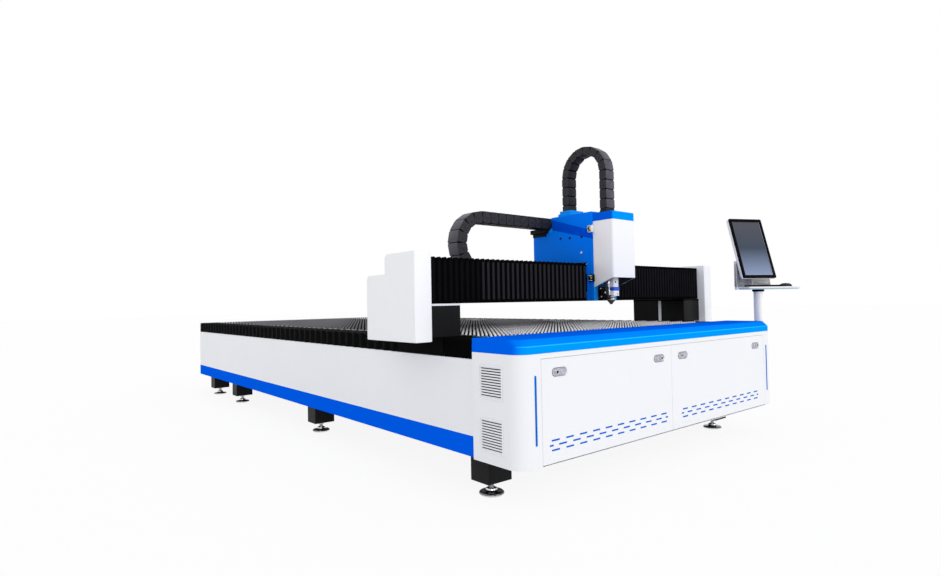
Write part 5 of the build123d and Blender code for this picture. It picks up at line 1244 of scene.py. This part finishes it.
@dataclass
class Gantry:
    """The bridge across the bed: girder, legs, end covers, beam bellows and the long cable chain."""

    cover_front: float = 214.0
    cover_back: float = 662.0
    cover_step: float = 482.0
    cover_low: float = 694.0
    cover_top: float = 1124.0
    cover_shelf: float = 1025.0
    left_cover: Flat = (-261.0, -164.0)
    right_cover: Flat = (2334.0, 2431.0)
    bellows_left: Pleats = field(default_factory=lambda: Pleats(-164.0, 1040.7, 34, 13.0))
    bellows_right: Pleats = field(default_factory=lambda: Pleats(1259.3, 2334.0, 34, 13.0))
    bellows_low: float = 877.0
    bellows_top: float = 1105.0
    bellows_face: float = 264.0
    bellows_back: float = 284.0
    chain_links: tuple[int, int, int] = (11, 8, 10)
    chain_centre: Corner = (478.0, 626.5, 1223.5)
    seal_span: Flat = (863.0, 875.4)
    seal_back: float = 693.0
    leg_corner: float = 2125.6

    def build(self, nodes: Nodes) -> None:
        """Build and dress every piece of the gantry.

        Args:
            nodes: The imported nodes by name.
        """
        dress(nodes, BLACK, "legs", "beam")
        dress(nodes, DULL_BLACK, "saddles", "y_motors")
        dress(nodes, WHITE, "leg_plates")
        dress(nodes, GROUND, "beam_rails")
        self.end_cover("left", self.left_cover, COVER_WHITE)
        self.end_cover("right", self.right_cover, COVER_FAR)
        self.bellows("left", self.bellows_left, PLEATS_LEFT, False)
        self.bellows("right", self.bellows_right, PLEATS_RIGHT, True)
        place = Matrix.Translation(self.chain_centre)
        chain = CableChain("beam_cable_chain", 161.0, 70.0, 97.0, self.chain_links, place)
        chain.build("gantry", "carriage", "beam_chain")
        self.seals()

    def seals(self) -> None:
        """Lay two black strips over the front and inner edges of the right leg plate."""
        low, top = self.seal_span
        face, corner = self.bellows_face, self.leg_corner
        mold = Mold()
        mold.box((corner, face - 1.4, low), (self.right_cover[0], face + 0.4, top))
        mold.box((corner - 1.2, face, low), (corner + 0.6, self.seal_back, top))
        mount(mold.cast("leg_plate_seals", [BEZEL]), "gantry", "bellows_black")

    def end_cover(self, side: str, span: Flat, finish: Finish) -> None:
        """Cast one end cover, a folded box with wide soft edges and a lower rear part.

        Args:
            side: left or right.
            span: Its two places along X.
            finish: Its paint.
        """
        front, step, back = self.cover_front, self.cover_step, self.cover_back
        low, top, shelf = self.cover_low, self.cover_top, self.cover_shelf
        profile = rounded([(front, low, 0.0), (front, top, 0.0), (step, top, 26.0), (step, shelf, 6.0),
                           (back, shelf, 26.0), (back, low, 0.0)], 6)
        mold = Mold()
        mold.prism(profile, Axis.X, span[0], span[1])
        piece = mold.cast(f"{side}_cover_shell", [finish], 6.0, 3, 50.0)
        mount(piece, "gantry", "white_paint", f"{side}_end_cover")

    def bellows(self, side: str, pleats: Pleats, finish: Finish, falling: bool) -> None:
        """Cast one pleated bellows with plain black margins along its top and bottom, and painted light and
        shade on its pleats.

        Args:
            side: left or right.
            pleats: The folds along X.
            finish: The cloth of the crests.
            falling: Whether its start, rather than its end, moves with the carriage.
        """
        back, low = self.bellows_back, self.bellows_low
        rings = []
        for x, sunk in pleats.stations():
            y, top = self.bellows_face + sunk, self.bellows_top - sunk * 0.3
            section = [(back, low), (y, low), (y, low + 13), (y, low + 15), (y, top - 17), (y, top - 15),
                       (y + 0.5, top - 2), (y + 3, top), (back, top)]
            rings.append([Vector((x, p, z)) for p, z in section])
        mold = Mold()
        mold.loft(rings, [1, 1, 1, 0, 1, 1, 1, 1, 1], bands=pleats.bands())
        piece = mold.cast(f"{side}_beam_pleats", [finish, BELLOWS_HEM_AND_VALLEY_SHADE, BELLOWS_HEM_AND_VALLEY_SHADE], smooth=30.0)
        drive(piece, "gantry", "carriage", pleats.weight(0, falling), "bellows_black",
              f"{side}_beam_bellows")


@dataclass
class Carriage:
    """The blue housing that runs along the girder, with its plate, bracket, plugs and the upright chain."""

    left: float = 1041.0
    right: float = 1259.0
    front: float = 215.0
    step: float = 542.0
    back: float = 714.0
    column: float = 248.0
    bottom: float = 876.0
    shelf: float = 1112.0
    low_top: float = 1322.0
    top: float = 1416.0
    screws: tuple[Flat, ...] = ((474.0, 1275.0), (398.0, 1272.0), (303.0, 1270.0), (306.0, 1173.0))
    plugs: Flat = (1012.0, 1312.0)
    cheeks: tuple[Corner, ...] = ((0.0, 1336.0, 1250.0), (9.0, 1403.0, 1302.0))
    gusset: Flat = (596.0, 1357.0)
    collars: tuple[tuple[float, ...], ...] = ((1046.0, 388.0, 1197.0, 498.0, 7.0, 1415.0, 1433.0),
                                              (1054.0, 398.0, 1185.0, 490.0, 6.0, 1433.0, 1451.0))
    collar_hole: tuple[float, ...] = (1056.0, 416.0, 1144.0, 472.0)
    front_edge: float = 36.0
    chain_centre: Corner = (1100.0, 296.5, 1659.5)

    def build(self, nodes: Nodes) -> None:
        """Build and dress every piece of the carriage.

        Args:
            nodes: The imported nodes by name.
        """
        dress(nodes, CARRIAGE_BLUE, "carriage_plate")
        dress(nodes, BLACK, "x_motor", "chain_bracket")
        dress(nodes, GROUND, "z_rails")
        self.housing()
        self.fastenings()
        self.connectors()
        upright = Matrix(((0, 1, 0, 0), (0, 0, -1, 0), (-1, 0, 0, 0), (0, 0, 0, 1)))
        place = Matrix.Translation(self.chain_centre) @ upright
        chain = CableChain("head_cable_chain", 147.5, 50.0, 82.0, (4, 8, 4), place, 5.0)
        chain.build("carriage", "z_unit", "head_chain")

    def housing(self) -> None:
        """Cast the housing with its side cheeks, the gusset behind the step and the chain's foot."""
        front, step, top, bottom = self.front, self.step, self.top, self.bottom
        profile = [(front, bottom), (front, top), (step, top), (step, self.low_top),
                   (self.back, self.low_top), (self.back, self.shelf), (self.column, self.shelf),
                   (self.column, bottom)]
        mold = Mold()
        mold.prism(profile, Axis.X, self.left, self.right)
        for face, out in ((self.left, -1.0), (self.right, 1.0)):
            rings = []
            for proud, rear, fore in self.cheeks:
                cheek = ((front, top), (step, top), (step, rear), (front, fore))
                rings.append([Axis.X.at(y, z, face + out * proud) for y, z in cheek])
            # The cheek's slanted lower face takes the darker blue, a painted shade.
            mold.loft(rings, [0, 0, 3, 0])
        # The gusset, the chain foot's collars and the strip at the front's left edge take the pale blue, a
        # painted highlight.
        gusset = [(step, self.low_top), (self.gusset[0], self.low_top), (step, self.gusset[1])]
        mold.prism(gusset, Axis.X, self.left + 2, self.right - 2, 1)
        for x0, y0, x1, y1, radius, low, high in self.collars:
            mold.tray(rectangle(x0, y0, x1, y1, radius), rectangle(*self.collar_hole, 3), Axis.Z, low, high,
                      1)
        side = self.front_edge
        mold.box((self.left, front - 0.8, bottom), (self.left + side, front, self.shelf - 100), 1)
        mold.box((self.left + side, front - 1.2, bottom + 1), (self.right - side, front - 0.2, 958), 2)
        piece = mold.cast("carriage_shell", [CARRIAGE_BLUE, HIGHLIGHT_PALE_BLUE, BEZEL, UNDERSIDE_SHADE_BLUE], 1.6, 2)
        mount(piece, "carriage", "blue_paint", "carriage_housing")

    def fastenings(self) -> None:
        """Add the socket screws in the cheeks and the screws of the chain's foot."""
        head = ((7.5, -0.5), (7.5, 2.6), (6.6, 3.4), (3.6, 3.4), (3.2, 1.4), (0.4, 1.4))
        mold = Mold()
        for y, z in self.screws:
            for face, out in ((self.left, -1.0), (self.right, 1.0)):
                mold.lathe([(radius, face + out * rise) for radius, rise in head], (0, y, z), Axis.X, 20,
                           0 if z < 1250 else 1)
        for x in (1062.0, 1138.0):
            screw = [(6.0, 1420.0), (6.0, 1425.5), (5.0, 1426.5), (0.5, 1426.5)]
            mold.lathe(screw, (x, 405.0, 0), steps=16)
        mount(mold.cast("carriage_screws", [BRIGHT, BLACK_PLASTIC], 0.3), "carriage", "chrome")

    def connectors(self) -> None:
        """Cast the two plugs with their blocks and turned collars on the housing's left side."""
        mold = Mold()
        for z, paint in zip(self.plugs, (2, 1)):
            x = self.left
            body, mark = (0, 2) if paint == 1 else (2, 0)
            mold.prism(rectangle(210, z - 19, 242, z + 19, 4), Axis.X, x - 20, x - 0.2, body)
            mold.prism(rectangle(206, z - 22, 246, z + 22, 3), Axis.X, x - 8, x - 4, body)
            mold.lathe([(12.0, x - 20), (12.0, x - 25), (10.0, x - 27), (6.5, x - 27)], (0, 226.0, z),
                       Axis.X, 24, 1)
            mold.lathe([(6.4, x - 26.6), (6.4, x - 27.4), (0.5, x - 27.4)], (0, 226.0, z), Axis.X, 18, 2)
            for rise in (-14.5, 14.5):
                mold.prism(rectangle(212, z + rise - 1.6, 240, z + rise + 1.6), Axis.X, x - 20.6, x - 19,
                           mark)
        mount(mold.cast("carriage_plugs", [CREAM, BRASS, BLACK_PLASTIC], 0.3), "carriage", "plug_brass",
              "connectors")


@dataclass
class HeadUnit:
    """The white Z cover with its blue cap, and the cutting head under it."""

    left: float = 1041.0
    right: float = 1259.0
    front: float = 68.0
    back: float = 214.0
    low_front: float = 1010.0
    low_back: float = 955.0
    seam: float = 1356.0
    top: float = 1404.0
    corner: float = 14.0
    sheet: float = 3.0
    plate_back: float = 199.0
    chain_foot: tuple[float, ...] = (1059.0, 124.0, 1141.0, 174.0)
    block: Flat = (1133.0, 149.0)
    axis: Flat = (1110.0, 153.0)
    band: Flat = (932.5, 955.0)
    body_top: float = 1119.0
    foot_low: float = 902.0
    unions: tuple[tuple[float, ...], ...] = ((8.5, 6.0, 60, 44, 24, -2, 922.0, 22, 0),
                                             (6.5, 4.5, 78, 66, 40, 14, 946.0, 18, 2),
                                             (6.0, 4.2, 74, 60, 40, 12, 898.0, 18, 2))

    def build(self, nodes: Nodes) -> None:
        """Build and dress every piece of the Z unit.

        Args:
            nodes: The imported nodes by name.
        """
        dress(nodes, CAST, "z_slide")
        self.cover()
        self.cap()
        self.head()
        self.fittings()

    def shell(self, inset: float, back: float) -> list[Flat]:
        """Return a plan with round front corners, open side last.

        Args:
            inset: How far the outline is drawn in, in millimetres.
            back: Where it ends at the back.

        Returns:
            The plan's points.
        """
        left, right, front = self.left + inset, self.right - inset, self.front + inset
        radius = max(1.0, self.corner - inset)
        return rounded([(left, back, 0.0), (left, front, radius), (right, front, radius),
                        (right, back, 0.0)], 7)

    def folded(self) -> list[Flat]:
        """Return the plan of the folded sheet: its outer face and then its inner one."""
        return self.shell(0, self.back) + self.shell(self.sheet, self.back)[::-1]

    def cover(self) -> None:
        """Cast the cover as one folded sheet, open at its back and foot, with slanted lower side edges."""
        plan = self.folded()
        bend = self.front + 10
        slope = (self.low_back - self.low_front) / (self.back - bend)
        rings = [[Vector((x, y, self.low_front + slope * max(0.0, y - bend) + rise)) for x, y in plan]
                 for rise in (0, 5)]
        mold = Mold()
        half = len(plan) // 2
        # The inner face of the sheet takes the near-black paint, a painted shade.
        mold.loft(rings + [level(plan, self.seam - 0.6)], [0] * half + [1] * (half - 1) + [0])
        piece = mold.cast("z_cover_sheet", [HEAD_WHITE, COVER_INSIDE_SHADE], 0.7, 2)
        mount(piece, "z_unit", "white_paint", "z_cover")

    def cap(self) -> None:
        """Cast the cap: a folded skirt, a top plate that clears the rails and the foot of the chain."""
        top = self.top
        mold = Mold()
        mold.loft([level(self.folded(), z) for z in (self.seam + 0.4, top - 4.0)])
        edge = ((0.0, 4.0), (0.4, 2.0), (1.6, 0.5), (3.2, 0.0))
        mold.loft([level(self.shell(inset, self.plate_back), top - drop) for inset, drop in edge])
        for x0, x1 in ((self.left, self.left + 3), (self.right - 3, self.right)):
            mold.box((x0, self.plate_back - 1, top - 4.2), (x1, self.back, top - 0.6))
        x0, y0, x1, y1 = self.chain_foot
        mold.loft([level(rectangle(x0 - grow, y0 - grow, x1 + grow, y1 + grow, 3), top + rise)
                   for grow, rise in ((6, 0), (6, 4), (1, 6), (1, 12))], 1)
        mold.box((x0 + 2, y0 + 2, top + 12), (x1 - 2, y1 - 2, top + 23.8), 1)
        piece = mold.cast("z_cap_shell", [BLUE, BLACK_PLASTIC], smooth=30.0)
        mount(piece, "z_unit", "blue_paint", "z_cap")

    def head(self) -> None:
        """Cast the cream body, the blue ring, the white foot and the turned nozzle."""
        x, y = self.block
        low, high = self.band
        body = Mold()
        body.prism(rectangle(x - 25, y - 27, x + 25, y + 27, 5), Axis.Z, high, self.body_top)
        body.prism(rectangle(x - 26, y - 28, x + 28, y + 28, 5), Axis.Z, self.foot_low, low, 1)
        body.lathe([(5.5, y - 28.0), (5.5, y - 26.5)], (x - 7, 0, 985.0), Axis.Y, 18, 2)
        body.lathe([(4.0, y - 29.0), (4.0, y - 27.5)], (x + 12, 0, 913.0), Axis.Y, 18, 2)
        piece = body.cast("head_body", [CREAM, WHITE_PLASTIC, BEZEL], 2.2, 3)
        mount(piece, "z_unit", "head_cream", "laser_head")
        ring = Mold()
        ring.prism(rectangle(x - 28, y - 30, x + 30, y + 30, 6), Axis.Z, low, high)
        mount(ring.cast("head_band", [HEAD_BLUE], 2.0, 3), "z_unit", "blue_plastic", "head_ring")
        centre = (self.axis[0] + 4, self.axis[1] - 6, 0)
        tip = Mold()
        tip.lathe([(27.0, 901.5), (27.0, 893.0), (24.0, 891.0), (24.0, 885.0), (26.0, 883.0), (26.0, 878.0),
                   (19.0, 868.0), (15.0, 864.0)], centre, Axis.Z, 36)
        tip.lathe([(15.2, 865.0), (14.0, 862.0), (9.0, 856.0), (6.0, 851.6), (2.0, 851.2)], centre, Axis.Z,
                  30, 1)
        mount(tip.cast("head_nozzle", [NOZZLE, COPPER], 0.4, 1), "z_unit", "nozzle_metal", "nozzle")

    def fittings(self) -> None:
        """Add the sensor, the gas elbow and the water unions at the head's left."""
        x, y = self.axis
        mold = Mold()
        mold.lathe([(13.0, 905.0), (13.0, 938.0), (10.0, 941.0), (10.0, 968.0), (12.0, 970.0),
                    (12.0, 990.0), (7.0, 993.0)], (x - 8, y + 2, 0), Axis.Z, 26)
        mold.lathe([(9.0, 930.0), (9.0, 948.0), (7.0, 950.0), (7.0, 976.0), (4.0, 980.0)],
                   (x - 34, y + 6, 0), Axis.Z, 22, 1)
        mold.prism(rectangle(x - 44, y - 20, x + 14, y + 22, 6), Axis.Z, 884.0, 906.0, 1)
        mold.prism(rectangle(x - 52, y - 12, x - 20, y + 26, 5), Axis.Z, 906.0, 958.0, 1)
        for wide, narrow, start, shoulder, end, deep, z, steps, paint in self.unions:
            mold.lathe([(wide, x - start), (wide, x - shoulder), (narrow, x - shoulder + 2),
                        (narrow, x - end)], (0, y + deep, z), Axis.X, steps, paint)
        mount(mold.cast("head_fittings", [BRIGHT, BLACK_PLASTIC, BRASS], 0.8, 2), "z_unit", "nozzle_metal")


@dataclass
class Console:
    """The operator's console: pole, tray, keyboard, mouse, bracket and the tilted monitor."""

    pole: Flat = (2300.0, -193.0)
    turn_degrees: float = -24.3
    tilt_degrees: float = 17.5
    tray: tuple[float, float, float, float] = (-148.0, -92.0, 268.0, 36.0)
    tray_low: float = 931.0
    tray_top: float = 949.0
    desk: float = 949.2
    keys_plan: tuple[float, ...] = (-129.0, -91.0, 141.0, -15.0)
    keys_low: float = 957.0
    key_pitch: Flat = (17.4, 13.9)
    mouse_place: Flat = (196.0, -40.0)
    monitor_foot: Corner = (0.0, -74.4, 1008.4)
    monitor_width: Flat = (-178.0, 88.0)
    monitor_height: float = 436.0
    monitor_depth: float = 34.0
    bezel: float = 21.0

    def __post_init__(self) -> None:
        """Work out the frames of the tray and of the monitor's plane."""
        turn = Matrix.Rotation(math.radians(self.turn_degrees), 4, "Z")
        self.local = Matrix.Translation((*self.pole, 0.0)) @ turn
        tilt = math.radians(self.tilt_degrees)
        lean = Matrix(((1, 0, 0, 0), (0, math.cos(tilt), math.sin(tilt), 0),
                       (0, -math.sin(tilt), math.cos(tilt), 0), (0, 0, 0, 1)))
        self.face = self.local @ Matrix.Translation(self.monitor_foot) @ lean

    def build(self, nodes: Nodes) -> None:
        """Build and dress every piece of the console.

        Args:
            nodes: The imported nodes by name.
        """
        dress(nodes, POLE_WHITE, "console_pole")
        self.table()
        self.keyboard()
        self.mouse()
        self.bracket()
        self.monitor()

    def table(self) -> None:
        """Cast the tray with an undercut edge and a tapered end, and the collar and spigot under it."""
        x0, y0, x1, y1 = self.tray

        def plan(inset: float, height: float) -> list[Vector]:
            """Return the tray's outline, drawn in by an inset, at a height.

            Args:
                inset: How far the outline is drawn in, in millimetres.
                height: The height of the ring.

            Returns:
                The points.
            """
            return level(rounded([(x0 + inset, y0 + inset, 10), (x1 - 20, y0 + inset, 40),
                                  (x1 + 36 - inset, y0 + 38, 8), (x1 - 2 - inset, y1 - inset, 16),
                                  (x0 + inset, y1 - inset, 10)], 6), height)

        mold = Mold(self.local)
        low, top = self.tray_low, self.tray_top
        # The undercut takes the teal grey, a painted shade under the tray's edge.
        mold.loft([plan(14.0, low), plan(12.0, low + 0.8), plan(1.2, low + 8.0)], 1)
        mold.loft([plan(1.2, low + 8.0), plan(0.0, low + 10.0), plan(0.0, top - 1.4), plan(1.4, top)])
        mold.lathe([(38.0, low + 0.5), (38.0, low - 12.0), (36.0, low - 14.0)], (0, 0, 0), Axis.Z, 40, 2)
        mold.lathe([(26.8, low - 13.0), (26.8, 858.0), (25.5, 857.0)], (0, 0, 0), Axis.Z, 32, 3)
        piece = mold.cast("console_table", [WHITE, TRAY_UNDERCUT_SHADE, BEZEL, SATIN], smooth=35.0)
        mount(piece, "console", "white_paint", "console_tray")

    def keyboard(self) -> None:
        """Cast the keyboard with five rows of separate keys and a long bar in the first row."""
        mold = Mold(self.local)
        mold.prism(rectangle(*self.keys_plan, 6), Axis.Z, self.desk, self.keys_low)
        across, up = self.key_pitch
        for row in range(5):
            for column in range(15):
                bar = row == 0 and column == 4
                if row == 0 and 4 < column <= 9:
                    continue
                x, y = self.keys_plan[0] + 5 + column * across, self.keys_plan[1] + 4.5 + row * up
                end = x + (6 if bar else 1) * across - 2.2
                mold.prism(rectangle(x, y, end, y + up - 2.1, 1.5, 2), Axis.Z, self.keys_low,
                           self.keys_low + 3.6, 1)
        piece = mold.cast("keyboard_keys", [BEZEL, BLACK_PLASTIC], 0.8, 2)
        mount(piece, "console", "black_plastic", "keyboard")

    def mouse(self) -> None:
        """Cast the mouse as a smooth dome with a wheel."""
        x, y = self.mouse_place
        dome = ((0.0, 0.93), (0.12, 0.99), (0.3, 1.0), (0.5, 0.95), (0.68, 0.85), (0.82, 0.70),
                (0.92, 0.50), (0.98, 0.28), (1.0, 0.1))
        rings = []
        for rise, size in dome:
            ring = []
            for step in range(36):
                angle = 2 * math.pi * step / 36
                a = math.copysign(abs(math.cos(angle)) ** 0.8, math.cos(angle)) * 44 * size - 6 * rise
                b = math.copysign(abs(math.sin(angle)) ** 0.8, math.sin(angle)) * 25 * size
                ring.append(Vector((x + a, y + b, self.desk + 23.5 * rise)))
            rings.append(ring)
        mold = Mold(self.local)
        mold.loft(rings)
        mold.lathe([(4.0, -42.6), (5.0, -42.0), (5.0, -38.0), (4.0, -37.4)], (x + 22, 0, 967.0), Axis.Y, 18)
        mount(mold.cast("mouse_shell", [BLACK_PLASTIC], smooth=60.0), "console", "black_plastic", "mouse")

    def bracket(self) -> None:
        """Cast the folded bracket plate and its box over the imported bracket, which stays."""
        mold = Mold(self.local)
        x0, x1, z1 = -160, 25, 1128
        plate = rounded([(x0, self.desk, 0), (x1, self.desk, 0), (x1, z1, 16), (x0, z1, 16)], 5)
        mold.prism(plate, Axis.Y, 14, 38)
        mold.prism(rectangle(x0 + 1, 932.0, x0 + 11, 951.0, 4), Axis.Y, 14, 38)
        mold.prism(rectangle(-58, self.desk, 93, 1022, 5), Axis.Y, -12, 14.5)
        mount(mold.cast("monitor_stand", [CONSOLE_WHITE], 2.0, 3), "console", "white_paint")

    def monitor(self) -> None:
        """Cast the monitor: a white back shell, a black bezel, the sunk screen and a pale inner edge, a
        painted highlight.
        """
        x0, x1 = self.monitor_width
        deep, high, rim = self.monitor_depth, self.monitor_height, self.bezel

        def loop(inset: float, radius: float) -> list[Flat]:
            """Return the case's outline, drawn in by an inset."""
            return rectangle(x0 + inset, inset, x1 - inset, high - inset, radius, 6)

        shell = ((1.0, 6.5, 9), (0.2, 8.0, 9), (0.2, deep - 12, 9), (3.0, deep - 4, 9), (10.0, deep, 8))
        case = Mold(self.face)
        case.loft([[Axis.Y.at(a, b, y) for a, b in loop(inset, radius)] for inset, y, radius in shell])
        case.tray(loop(0.0, 9), loop(rim, 3), Axis.Y, 0.0, 6.5, 1)
        line = 2.6
        # Two thin pale strips along the screen's inner edge: a painted highlight.
        case.box((x0 + rim, 1.6, rim), (x1 - rim, 3.4, rim + line), 2)
        case.box((x1 - rim - line * 0.6, 1.6, rim), (x1 - rim, 3.4, high - rim), 2)
        for row in range(9):
            case.box((x0 + 60, deep - 0.4, 120 + row * 11), (x1 - 60, deep, 125 + row * 11), 1)
        piece = case.cast("monitor_shell", [WHITE_PLASTIC, BEZEL, SCREEN_EDGE_HIGHLIGHT], 0.8, 2)
        mount(piece, "monitor", "white_plastic", "monitor_case")
        glass = Mold(self.face)
        glass.box((x0 + rim, 4.0, rim), (x1 - rim, 6.0, high - rim))
        mount(glass.cast("monitor_glass", [SCREEN]), "monitor", "screen_glass", "monitor_screen")


@dataclass
class Studio:
    """The pale floor, the even sky, two soft lamps and the photograph's camera."""

    lens: float = 22.098
    stand: Corner = (-1752.15, -2004.39, 877.67)
    yaw: float = 0.6874
    pitch: float = 0.0250
    roll: float = -0.0180

    def build(self) -> None:
        """Set up the scene round the machine."""
        bpy.context.scene.view_settings.view_transform = "Standard"
        self.camera()
        self.sky()
        self.floor()
        self.lamp("front_lamp", (0.30, -1.0, 0.42), 0.55, 30.0)
        self.lamp("corner_lamp", (-0.62, -0.90, 0.30), 0.22, 9.0)

    def camera(self) -> None:
        """Place the camera where the photograph was taken."""
        data = bpy.data.cameras.new("photo_camera")
        data.lens = self.lens
        data.sensor_width = 36.0
        data.clip_end = 200.0
        camera = bpy.data.objects.new("photo_camera", data)
        bpy.context.scene.collection.objects.link(camera)
        ahead = Vector((math.sin(self.yaw) * math.cos(self.pitch),
                        math.cos(self.yaw) * math.cos(self.pitch), math.sin(self.pitch)))
        level = Vector((math.cos(self.yaw), -math.sin(self.yaw), 0.0))
        rise = Vector((-math.sin(self.yaw) * math.sin(self.pitch),
                       -math.cos(self.yaw) * math.sin(self.pitch), math.cos(self.pitch)))
        right = level * math.cos(self.roll) + rise * math.sin(self.roll)
        up = rise * math.cos(self.roll) - level * math.sin(self.roll)
        spot = Vector(self.stand) * MM
        camera.matrix_world = Matrix(((right.x, up.x, -ahead.x, spot.x), (right.y, up.y, -ahead.y, spot.y),
                                      (right.z, up.z, -ahead.z, spot.z), (0, 0, 0, 1)))
        bpy.context.scene.camera = camera

    def sky(self) -> None:
        """Light the scene evenly, and show white wherever the background is seen or mirrored."""
        world = bpy.data.worlds.new("even_sky")
        bpy.context.scene.world = world
        world.use_nodes = True
        tree = world.node_tree
        tree.nodes.clear()
        path = tree.nodes.new("ShaderNodeLightPath").outputs
        seen = reckon(tree, "MAXIMUM", path["Is Camera Ray"], path["Is Glossy Ray"])
        seen = reckon(tree, "MAXIMUM", seen, path["Is Transmission Ray"])
        mix = tree.nodes.new("ShaderNodeMixShader")
        tree.links.new(seen, mix.inputs[0])
        for number, (colour, strength) in enumerate((((0.985, 0.99, 1.0, 1.0), 0.90), ((1.0,) * 4, 1.0))):
            light = tree.nodes.new("ShaderNodeBackground")
            light.inputs["Color"].default_value = colour
            light.inputs["Strength"].default_value = strength
            tree.links.new(light.outputs[0], mix.inputs[number + 1])
        tree.links.new(mix.outputs[0], tree.nodes.new("ShaderNodeOutputWorld").inputs[0])

    def floor(self) -> None:
        """Lay a pale floor that is nearly white to the camera and keeps the machine's shadow."""
        mesh = bmesh.new()
        bmesh.ops.create_grid(mesh, x_segments=2, y_segments=2, size=60.0)
        data = bpy.data.meshes.new("studio_floor")
        mesh.to_mesh(data)
        mesh.free()
        ground = bpy.data.objects.new("studio_floor", data)
        bpy.context.scene.collection.objects.link(ground)
        shader = Shader("studio_floor_pale", (0.90, 0.90, 0.905), 0.9, gloss=0.1)
        shader.bump(shader.noise(40.0, 2.0), 0.0001)
        tree = shader.tree
        path = tree.nodes.new("ShaderNodeLightPath").outputs
        seen = reckon(tree, "MAXIMUM", path["Is Camera Ray"], path["Is Glossy Ray"])
        glow = shader.node("ShaderNodeEmission", Strength=1.0)
        mix = tree.nodes.new("ShaderNodeMixShader")
        sources = (reckon(tree, "MULTIPLY", seen, 0.90), shader.surface.outputs[0], glow.outputs[0])
        for source, socket in zip(sources, mix.inputs):
            tree.links.new(source, socket)
        tree.links.new(mix.outputs[0], tree.nodes["Material Output"].inputs["Surface"])
        data.materials.append(shader.material)

    def lamp(self, name: str, towards: Corner, strength: float, spread: float) -> None:
        """Hang one distant soft lamp in a direction from the machine.

        Args:
            name: The lamp's name.
            towards: The direction that it hangs in.
            strength: Its strength.
            spread: Its angle in degrees.
        """
        data = bpy.data.lights.new(name, "SUN")
        data.energy = strength
        data.angle = math.radians(spread)
        lamp = bpy.data.objects.new(name, data)
        lamp.rotation_euler = Vector(towards).to_track_quat("Z", "Y").to_euler()
        bpy.context.scene.collection.objects.link(lamp)


def main() -> None:
    """Clear the start-up scene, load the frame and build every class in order."""
    logging.basicConfig(level=logging.INFO, format="%(name)s %(message)s")
    for thing in list(bpy.data.objects):
        bpy.data.objects.remove(thing)
    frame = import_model()
    nodes: Nodes = frame["nodes"]
    Studio().build()
    FrontCabinet().build(nodes)
    Bed().build(nodes)
    SlatTable().build(nodes)
    RailCovers().build()
    Gantry().build(nodes)
    Carriage().build(nodes)
    HeadUnit().build(nodes)
    Console().build(nodes)


if __name__ == "__main__":
    main()
